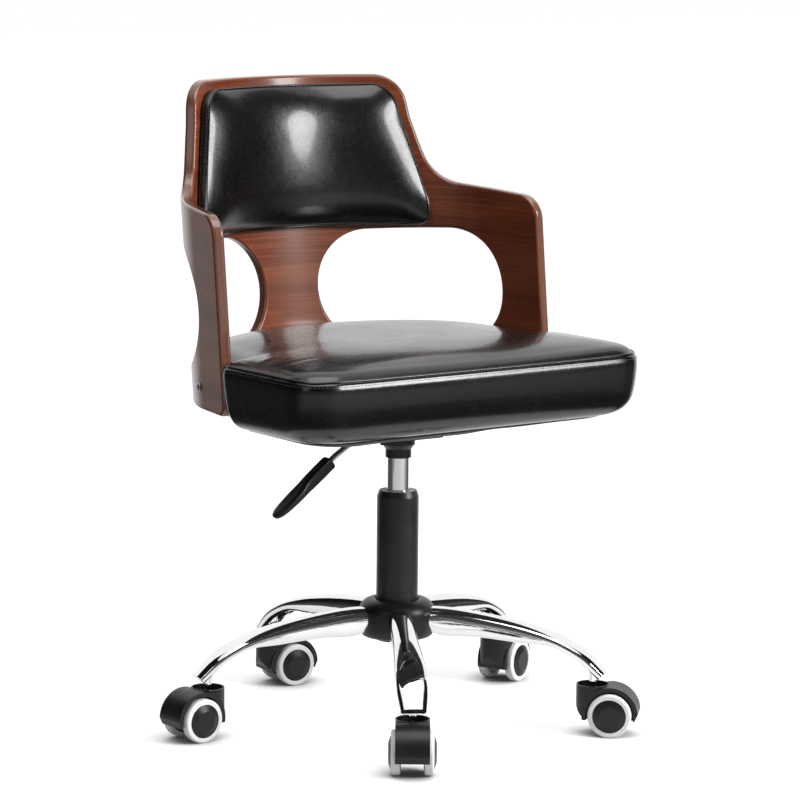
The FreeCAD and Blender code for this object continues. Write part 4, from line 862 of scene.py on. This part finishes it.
def build_pad():
    """Front panel, side panel and back panel of the back cushion, bent to the shell."""
    loop = even_loop(PAD_HALF + [(-x, y, radius) for x, y, radius in reversed(PAD_HALF)], 8 * COVER_SIZE)
    size, side = COVER_SIZE, 2 * COVER_SIZE + 1
    flat = filled_loop(loop, (0.0, 650.0))
    gap = edge_gap(flat, loop)
    round_share = 0.45 * np.sqrt(1 - (1 - part_of(gap, 22.0)) ** 2)
    round_share += 0.55 * np.sin(part_of(gap, 52.0) * pi / 2)
    wide_share = 1 - (1 - part_of(gap, 80.0)) ** 2
    deep = PAD_EDGE + (0.72 * round_share + 0.28 * wide_share) * (PAD_FULL - PAD_EDGE)
    deep = evened(deep.reshape(side, side), 14).ravel()
    points = [shell_point(x, y, -depth) for (x, y), depth in zip(flat, deep)]
    rings = [grid_edge(size)] + number_rings(len(points), len(loop), len(PAD_SIDE))
    middle = np.array([0.0, 655.0])
    for depth, swell in PAD_SIDE:
        for spot in np.array(loop):
            way = (spot - middle) / np.linalg.norm(spot - middle)
            points.append(shell_point(*(spot + way * swell), -depth))
    inner = [number for number in range(side * side) if number not in set(rings[0])]
    index = {number: len(points) + rank for rank, number in enumerate(inner)}
    index.update(zip(rings[0], rings[-1]))
    points += [shell_point(*flat[number], -PAD_GAP) for number in inner]
    faces = grid_faces(side) + ring_faces(rings)
    faces += [tuple(index[number] for number in reversed(face)) for face in grid_faces(side)]
    piece = add_piece("back_pad_cover", points, faces, "seat", "black_hide")
    rear = [index[number] for number in inner]
    held = {number: 1.0 for number in rings[0] + rings[5] + rings[6] + rear}
    inflate(piece, held, pressure=1.4, most=2.0, stiffness=30.0, calm=24)
    draw_in(piece, (rings[0], 0.9))
    smooth_cover(piece)
    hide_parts("back_cushion")
    return ring_lines(piece, rings[0], rings[2])


seat_rings = build_seat()
pad_rings = build_pad()


# Seams, stitches and screws

def new_recipe(name, *wants):
    """A geometry tree with named inputs; each want is a name and a socket kind."""
    tree = bpy.data.node_groups.new(name, "GeometryNodeTree")
    for label, kind in (("Geometry", "Geometry"),) + wants:
        tree.interface.new_socket(name=label, in_out="INPUT", socket_type="NodeSocket" + kind)
    tree.interface.new_socket(name="Geometry", in_out="OUTPUT", socket_type="NodeSocketGeometry")
    graph = Graph(tree)
    source = graph.node("NodeGroupInput").outputs
    return tree, graph, source


def finish_recipe(graph, geometry, source):
    """Real geometry with its finish, shaded smooth."""
    real = graph.node("GeometryNodeRealizeInstances", Geometry=geometry).outputs[0]
    soft = graph.node("GeometryNodeSetShadeSmooth", Geometry=real).outputs[0]
    done = graph.node("GeometryNodeSetMaterial", Geometry=soft, Material=source["Finish"]).outputs[0]
    graph.feed(graph.node("NodeGroupOutput").inputs[0], done)


def run_recipe(name, mesh, tree, slot, **values):
    """A plain piece on the seat from a mesh, a geometry tree and the tree's inputs."""
    piece = new_object(name, mesh)
    maker = piece.modifiers.new("maker", "NODES")
    maker.node_group = tree
    for item in tree.interface.items_tree:
        if item.in_out == "INPUT" and item.name in values:
            maker[item.identifier] = values[item.name]
    settle(piece)
    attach(piece, "seat")
    return piece


def path_mesh(name, points, ways):
    """A closed line of points, in metres, that keeps the way out of the surface at each."""
    count = len(points)
    mesh = bpy.data.meshes.new(name)
    mesh.from_pydata([tuple(point) for point in points], [(n, (n + 1) % count) for n in range(count)], [])
    layer = mesh.attributes.new("way", "FLOAT_VECTOR", "POINT")
    layer.data.foreach_set("vector", [part for way in ways for part in way])
    return mesh


def even_line(graph, source):
    """The incoming line, cut into even steps."""
    line = graph.node("GeometryNodeMeshToCurve", Mesh=source["Geometry"]).outputs[0]
    step = source["Step"]
    return graph.node("GeometryNodeResampleCurve", {"mode": "LENGTH"}, Curve=line, Length=step).outputs[0]


def way_out(graph, **settings):
    """A rotation that turns an instance's Z to the way out of the surface."""
    way = graph.node("GeometryNodeInputNamedAttribute", {"data_type": "FLOAT_VECTOR"}, Name="way").outputs[0]
    return graph.node("FunctionNodeAlignRotationToVector", {"axis": "Z", **settings}, Vector=way)


def random_number(graph, source, low, high):
    item = graph.node("FunctionNodeRandomValue", {"data_type": "FLOAT"}, Seed=source["Seed"])
    graph.feed(item.inputs[2], low)
    graph.feed(item.inputs[3], high)
    return item.outputs[1]


def welt_recipe():
    """A thin rounded cord along a line."""
    tree, graph, source = new_recipe("welt", ("Radius", "Float"), ("Step", "Float"), ("Finish", "Material"))
    ring = graph.node("GeometryNodeCurvePrimitiveCircle", Resolution=10, Radius=source["Radius"])
    cord = graph.node("GeometryNodeCurveToMesh", Curve=even_line(graph, source), Profile_Curve=ring.outputs[0])
    finish_recipe(graph, cord.outputs[0], source)
    return tree


def stitch_recipe():
    """Short threads laid end to end along a line, each a little different."""
    tree, graph, source = new_recipe("stitches", ("Step", "Float"), ("Long", "Float"), ("Wide", "Float"),
                                     ("Seed", "Int"), ("Finish", "Material"))
    bead = graph.node("GeometryNodeMeshUVSphere", Segments=6, Rings=4, Radius=0.5).outputs[0]
    tangent = graph.node("GeometryNodeInputTangent").outputs[0]
    along = graph.node("FunctionNodeAlignRotationToVector", {"axis": "X"}, Vector=tangent).outputs[0]
    turned = way_out(graph, pivot_axis="X")
    graph.feed(turned.inputs["Rotation"], along)
    length = graph.times(source["Long"], random_number(graph, source, 0.86, 1.08))
    size = graph.node("ShaderNodeCombineXYZ", X=length, Y=source["Wide"], Z=source["Wide"]).outputs[0]
    row = graph.node("GeometryNodeInstanceOnPoints", Points=even_line(graph, source), Instance=bead,
                     Rotation=turned.outputs[0], Scale=size)
    finish_recipe(graph, row.outputs[0], source)
    return tree


def placing_recipe():
    """The incoming mesh set at every point of another object, facing its way out."""
    tree, graph, source = new_recipe("placing", ("Places", "Object"), ("Seed", "Int"), ("Finish", "Material"))
    places = graph.node("GeometryNodeObjectInfo", Object=source["Places"])
    own = graph.node("ShaderNodeCombineXYZ", Z=random_number(graph, source, 0.0, 1.5)).outputs[0]
    both = graph.node("FunctionNodeRotateRotation", {"rotation_space": "LOCAL"},
                      Rotation=way_out(graph).outputs[0])
    graph.feed(both.inputs[1], own)
    row = graph.node("GeometryNodeInstanceOnPoints", Points=places.outputs["Geometry"],
                     Instance=source["Geometry"], Rotation=both.outputs[0])
    finish_recipe(graph, row.outputs[0], source)
    return tree


WELT = welt_recipe()
STITCHES = stitch_recipe()
PLACING = placing_recipe()


def lifted(points, ways, rise):
    return [point + way * rise * MM for point, way in zip(points, ways)]


def build_seams():
    """A welt on each seam, and a row of stitches beside it."""
    for name, (lines, ways), radius in (("seat", seat_rings, 1.5), ("back_pad", pad_rings, 0.8)):
        welt = path_mesh(name + "_welt", lifted(lines[0], ways[0], 0.5), ways[0])
        run_recipe(name + "_welt", welt, WELT, "black_hide", Radius=radius * MM, Step=5.0 * MM,
                   Finish=FINISHES["black_hide"])
        row = path_mesh(name + "_stitches", lifted(lines[1], ways[1], 0.25), ways[1])
        run_recipe(name + "_stitches", row, STITCHES, "black_hide", Step=4.6 * MM, Long=3.4 * MM, Wide=0.9 * MM,
                   Seed=3, Finish=FINISHES["black_thread"])


# Rings of a screw's dome: shares of its radius and of its height
SCREW_DOME = [(1.0, 0.0), (1.0, 0.30), (0.96, 0.52), (0.86, 0.76), (0.70, 0.93), (0.54, 1.0)]


def screw_mesh(name, radius, height):
    """A domed screw head with a cross recess, its underside at the origin."""
    turns = circle_turns(48)
    reach, slot_half = 0.52 * radius, 0.11 * radius

    def cross(turn, scale):
        low, high = sorted((abs(cos(turn)), abs(sin(turn))))
        return min(reach / high, max(slot_half / max(low, 0.02), slot_half * 1.4)) * scale

    rows = [([radius * share] * len(turns), height * rise) for share, rise in SCREW_DOME]
    for scale, rise in ((1.0, height), (0.86, 0.35 * height)):
        rows.append(([cross(turn, scale) for turn in turns], rise))
    points = [(run * cos(turn), run * sin(turn), rise)
              for runs, rise in rows for turn, run in zip(turns, runs)]
    return new_mesh(name, points, capped_faces(number_rings(0, len(turns), len(rows))))


def build_screws(name, node, places, radius, height):
    """Screw heads on the outside of the shell."""
    spots = [shell_point(reach, up, SHELL_THICK) * MM for reach, up in places]
    ways = [shell_normal(reach) for reach, _ in places]
    marks = new_object(name + "_places", path_mesh(name + "_places", spots, ways))
    piece = run_recipe(name, screw_mesh(name, radius, height), PLACING, "steel", Places=marks, Seed=5,
                       Finish=FINISHES["steel"])
    bpy.data.objects.remove(marks)
    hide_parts(node)


build_seams()
build_screws("shell_screw_heads", "shell_screws",
             [(side * reach, 412.0) for reach in (271.0, 40.0) for side in (1, -1)], 5.5, 2.5)
build_screws("back_screw_heads", "back_screws",
             [(side * 100.0, up) for up in (630.0, 705.0) for side in (1, -1)], 4.5, 2.0)


# Dust cover

def build_dust_cover():
    """Thin cloth pinned under the seat round its edge and the plate, slack between."""
    outer = seat_loop(SEAT["foot"], SEAT["tuck"] + 4.0)
    half_x, half_y, radius = 86.5, 66.5, 4.0
    inner = even_loop([(half_x, half_y, radius), (half_x, -half_y, radius), (-half_x, -half_y, radius),
                       (-half_x, half_y, radius)], len(outer))
    levels = 26
    points = []
    rng = np.random.default_rng(11)
    waves = [(rng.uniform(0, 6.28), rng.uniform(0.3, 1.0)) for _ in range(6)]
    for level in range(levels + 1):
        share = level / levels
        belly = sin(pi * share) ** 0.8
        for start, end in zip(outer, inner):
            x, y = (a + (b - a) * share for a, b in zip(start, end))
            turn = atan2(y, x)
            side = 0.55 + 0.45 * cos(turn - radians(215.0))
            ripple = sum(size * sin((3 + 2 * rank) * turn + phase) for rank, (phase, size) in enumerate(waves))
            points.append((x, y, SEAT["foot"] - 1.0 - belly * (2.0 + 8.0 * side + 0.45 * ripple)))
    faces = [(a, d, c, b) for a, b, c, d in ring_faces(number_rings(0, len(outer), levels + 1))]
    piece = add_piece("seat_dust_cover", points, faces, "seat", "black_cloth")
    set_all(piece.modifiers.new("thick", "SOLIDIFY"), thickness=0.8 * MM, offset=0.0)
    settle(piece)
    piece.data.shade_smooth()
    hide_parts("dust_cover")


build_dust_cover()


# Hub dome and lever paddle

def arc_profile(centre, radius, start, end, parts):
    turns = [radians(start + (end - start) * part / parts) for part in range(parts + 1)]
    return [(centre[0] + radius[0] * cos(turn), centre[1] + radius[1] * sin(turn)) for turn in turns]


def leg_cutters():
    """Five round bars, one along each leg, that cut the dome."""
    hole, hole_z, first_leg = 17.0, 126.0, 238.6
    line = [(hole * cos(radians(a)), hole_z + hole * sin(radians(a))) for a in range(0, 360, 9)]
    points, faces = [], []
    for number in range(5):
        turn = radians(first_leg + 72.0 * number)
        way = Vector((cos(turn), sin(turn), 0.0))
        across = Vector((-way.y, way.x, 0.0))
        rings = number_rings(len(points), len(line), 2)
        for reach in (20.0, 60.0):
            points += [way * reach + across * side + Vector((0, 0, height)) for side, height in line]
        *quads, far, near = (tuple(reversed(face)) for face in capped_faces(rings))
        faces += quads + [near, far]
    return new_object("leg_cutters", new_mesh("leg_cutters", points, faces))


def build_dome():
    """The hub's dome in one smooth turn, with a round hole for each leg."""
    outer, wall, top, foot, base = 46.0, 2.5, 150.0, 39.0, 105.0
    shoulder, rise = 17.0, 14.0

    def half_wall(inset):
        line = arc_profile((foot - inset, base + rise), (outer - foot, rise), -90, 0, 10)
        return line + arc_profile((outer - shoulder, top - shoulder), (shoulder - inset,) * 2, 0, 90, 14)

    profile = half_wall(0.0) + [(26.9, top), (26.5, top - 0.4), (26.5, top - wall)] + half_wall(wall)[::-1]
    turns = circle_turns(120)
    points = [(radius * cos(turn), radius * sin(turn), height) for radius, height in profile
              for turn in turns]
    faces = ring_faces(number_rings(0, len(turns), len(profile)), True)
    piece = add_piece("hub_dome", points, faces, "base", "black_plastic")
    cutter = leg_cutters()
    set_all(piece.modifiers.new("saw", "BOOLEAN"), operation="DIFFERENCE", solver="EXACT", object=cutter)
    set_all(piece.modifiers.new("edge", "BEVEL"), width=0.5 * MM, segments=2, limit_method="ANGLE",
            angle_limit=radians(50.0))
    settle(piece)
    bpy.data.objects.remove(cutter)
    piece.data.shade_smooth()
    piece.data.set_sharp_from_angle(angle=radians(38.0))
    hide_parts("hub_cover")


# Sections of the lever's grip: run, width, thickness, corner power, thumb hollow
GRIP = [
    (5.0, 8.2, 8.2, 2.0, 0.0), (0.0, 8.2, 8.2, 2.0, 0.0), (0.0, 13.6, 12.6, 6.0, 0.0),
    (0.7, 14.8, 13.8, 6.0, 0.0), (2.0, 15.4, 14.4, 6.0, 0.0), (20.0, 15.8, 14.6, 6.0, 0.0),
    (38.0, 15.8, 14.4, 5.0, 0.0), (42.0, 16.4, 13.6, 4.5, 0.1), (46.0, 18.6, 12.6, 4.0, 0.4),
    (51.0, 21.0, 12.0, 3.6, 0.9), (58.0, 22.6, 11.6, 3.4, 1.3), (68.0, 23.0, 11.0, 3.2, 1.5),
    (78.0, 22.4, 10.2, 3.0, 1.2), (86.0, 20.6, 9.2, 2.8, 0.7), (91.0, 17.6, 8.2, 2.6, 0.3),
    (94.5, 13.4, 6.8, 2.4, 0.0), (96.4, 8.6, 4.8, 2.2, 0.0), (97.0, 3.4, 2.0, 2.0, 0.0),
]
GRIP_START, GRIP_WAY = Vector((-113.0, -30.0, 336.0)), Vector((-37.0, 0.0, -28.0))


def power_curve(value, power):
    """A share of a circle's reach, squared off more by a higher power."""
    return copysign(abs(value) ** (2 / power), value)


def build_paddle():
    """The lever's grip: a block round the rod, then a flat paddle with a thumb hollow."""
    along = GRIP_WAY.normalized()
    start = GRIP_START + along * 9.0
    across = Vector((0.0, 1.0, 0.0))
    up = Vector((along.z, 0.0, -along.x))
    turns = circle_turns(48)
    points = []
    for run, width, thick, power, hollow in GRIP:
        for turn in turns:
            side = power_curve(cos(turn), power) * width / 2
            lift = power_curve(sin(turn), power) * thick / 2
            if sin(turn) > 0:
                lift -= hollow * max(1 - (2 * side / width) ** 2, 0.0)
            points.append(start + along * run + across * side + up * lift)
    faces = capped_faces(number_rings(0, len(turns), len(GRIP)))
    piece = add_piece("lever_paddle", points, faces, "lever", "black_plastic")
    face = piece.data.polygons[len(faces) // 2]
    if face.normal.dot(face.center - (start + along * 45.0) * MM) < 0:
        piece.data.flip_normals()
    piece.data.set_sharp_from_angle(angle=radians(50.0))
    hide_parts("lever_handle")


build_dome()
build_paddle()


# Floor, light and camera

AROUND = radians(-36.0)
WHITE = (1.0, 1.0, 1.0, 1.0)


def place_light(name, spot, aim, size, power):
    """A soft rectangle of light that faces a height on the column's axis."""
    lamp = new_object(name, set_all(bpy.data.lights.new(name, "AREA"), shape="RECTANGLE", energy=power))
    lamp.data.size, lamp.data.size_y = size
    lamp.location = spot
    lamp.rotation_euler = (Vector((0.0, 0.0, aim)) - Vector(spot)).to_track_quat("-Z", "Y").to_euler()
    return lamp


def stage_mesh(name, corners, faces, material):
    mesh = bpy.data.meshes.new(name)
    mesh.from_pydata(corners, [], faces)
    mesh.materials.append(material)
    item = new_object(name, mesh)
    return item


def surround(graph):
    """How dark the studio is in the direction of a place, from 0 at the backdrop."""
    split = graph.node("ShaderNodeSeparateXYZ", Vector=graph.place).outputs

    def along(x, y):
        return graph.plus(graph.times(split["X"], x), graph.times(split["Y"], y))

    front = along(sin(AROUND), -cos(AROUND))
    turn = graph.math("ARCTAN2", along(cos(AROUND), sin(AROUND)), front)
    stops = ((-142, 0.0), (-124, 0.94), (-66, 0.94), (-42, 0.60), (55, 0.62), (72, 0.78), (98, 0.93),
             (124, 0.94), (142, 0.0))
    return graph.ramp(graph.between(turn, -pi, pi, 0.0, 1.0),
                      *((0.5 + angle / 360, (dark,) * 3) for angle, dark in stops))


def seen_rays(graph):
    """1 for rays from the camera and for what surfaces reflect or let through."""
    rays = graph.node("ShaderNodeLightPath").outputs
    return graph.most(rays["Is Camera Ray"],
                      graph.most(rays["Is Glossy Ray"], rays["Is Transmission Ray"]))


def floor_paint():
    """Pale floor that is drawn white, with the object's shadow kept and a painted contact shadow where its glow
    dims close to the object; reflections see it fade forwards.
    """
    graph = Finish("pale_floor")
    paint = graph.node("ShaderNodeBsdfDiffuse", Color=(0.55, 0.55, 0.55, 1.0))
    reach = graph.vector("LENGTH", graph.place)["Value"]
    # painted contact shadow: the floor's glow is dimmed by ambient occlusion where the object stands close
    near = graph.node("ShaderNodeAmbientOcclusion", {"samples": 8}, Distance=0.035).outputs["AO"]
    lift = graph.times(graph.between(reach, 0.4, 2.0, 0.80, 0.92),
                      graph.between(near, 0.35, 0.95, 0.0, 1.0))
    glow = graph.node("ShaderNodeEmission", Color=WHITE, Strength=graph.times(seen_rays(graph), lift))
    both = graph.node("ShaderNodeAddShader")
    graph.feed(both.inputs[0], paint.outputs[0])
    graph.feed(both.inputs[1], glow.outputs[0])
    dark = graph.node("ShaderNodeEmission", Color=(0.0, 0.0, 0.0, 1.0), Strength=0.0)
    far = surround(graph)
    near_band = graph.times(graph.between(reach, 1.35, 1.9, 1.0, 0.0), 0.96)
    fade = graph.most(graph.times(near_band, graph.between(far, 0.0, 0.5, 0.0, 1.0)), far)
    fade = graph.times(graph.between(reach, 0.50, 0.62, 0.0, 1.0), fade)
    fade = graph.most(fade, graph.between(reach, 0.9, 1.6, 0.24, 0.0))
    glossy = graph.node("ShaderNodeLightPath").outputs["Is Glossy Ray"]
    blend = graph.node("ShaderNodeMixShader", Fac=graph.times(fade, glossy))
    graph.feed(blend.inputs[1], both.outputs[0])
    graph.feed(blend.inputs[2], dark.outputs[0])
    return graph.end(blend)


def card_paint():
    """A studio wall that only reflections see, darker to both sides than in front."""
    graph = Finish("studio_card")
    height = graph.node("ShaderNodeSeparateXYZ", Vector=graph.place).outputs["Z"]
    pale = graph.math("SUBTRACT", 1.0, surround(graph))
    glow = graph.times(pale, graph.between(height, 0.0, 1.6, 0.7, 0.12))
    return graph.end(graph.node("ShaderNodeEmission", Color=WHITE, Strength=glow))


def build_stage():
    half, parts, reach, top = 14.0, 20, 4.6, 6.5
    stage_mesh("floor", [(-half, -half, 0), (half, -half, 0), (half, half, 0), (-half, half, 0)],
               [(0, 1, 2, 3)], floor_paint())
    paint = card_paint()
    for name, start, end in (("left_card", -256.0, -126.0), ("right_card", -126.0, 4.0)):
        turns = [radians(start + (end - start) * part / parts) for part in range(parts + 1)]
        corners = [(reach * cos(turn), reach * sin(turn), height) for turn in turns for height in (0.0, top)]
        faces = [(2 * part, 2 * part + 2, 2 * part + 3, 2 * part + 1) for part in range(parts)]
        card = stage_mesh(name, corners, faces, paint)
        card.visible_camera = card.visible_diffuse = card.visible_transmission = card.visible_shadow = False

    world = bpy.data.worlds.new("studio")
    bpy.context.scene.world = world
    world.use_nodes = True
    world.node_tree.nodes.clear()
    graph = Graph(world.node_tree)
    back = graph.node("ShaderNodeBackground", Color=WHITE,
                      Strength=graph.between(seen_rays(graph), 0.0, 1.0, 0.22, 1.0))
    graph.node("ShaderNodeOutputWorld", Surface=back.outputs[0])

    place_light("top_softbox", (-0.2, -0.5, 3.2), 0.4, (2.6, 2.0), 42.0)
    place_light("left_softbox", (-3.6, -0.9, 1.9), 0.45, (1.0, 1.8), 6.0)
    place_light("right_softbox", (2.0, -3.1, 1.85), 0.60, (1.35, 1.6), 100.0).data.shape = "ELLIPSE"
    place_light("key_panel", (2.2, -3.3, 2.3), 0.45, (1.6, 1.6), 115.0).visible_glossy = False


def build_camera():
    """The photograph's viewpoint: a long lens, 36 degrees to the left of the front."""
    distance, height, pitch, roll = 4.24604, 1.03927, radians(8.7042), radians(0.5575)
    right = Vector((cos(AROUND), sin(AROUND), 0.0))
    level = Vector((-sin(AROUND), cos(AROUND), 0.0))
    up = Vector((0.0, 0.0, 1.0))
    forward = level * cos(pitch) - up * sin(pitch)
    above = up * cos(pitch) + level * sin(pitch)
    turned_right = right * cos(roll) + above * sin(roll)
    turned_up = above * cos(roll) - right * sin(roll)
    camera = new_object("camera", set_all(bpy.data.cameras.new("camera"), sensor_width=36.0,
                                          lens=3616.94 / 800 * 36.0, shift_x=0.00143, clip_end=60.0))
    basis = Matrix((turned_right, turned_up, -forward)).transposed().to_4x4()
    camera.matrix_world = Matrix.Translation(up * height - level * distance) @ basis
    bpy.context.scene.camera = camera


build_stage()
build_camera()
bpy.context.scene.view_settings.view_transform = "Standard"
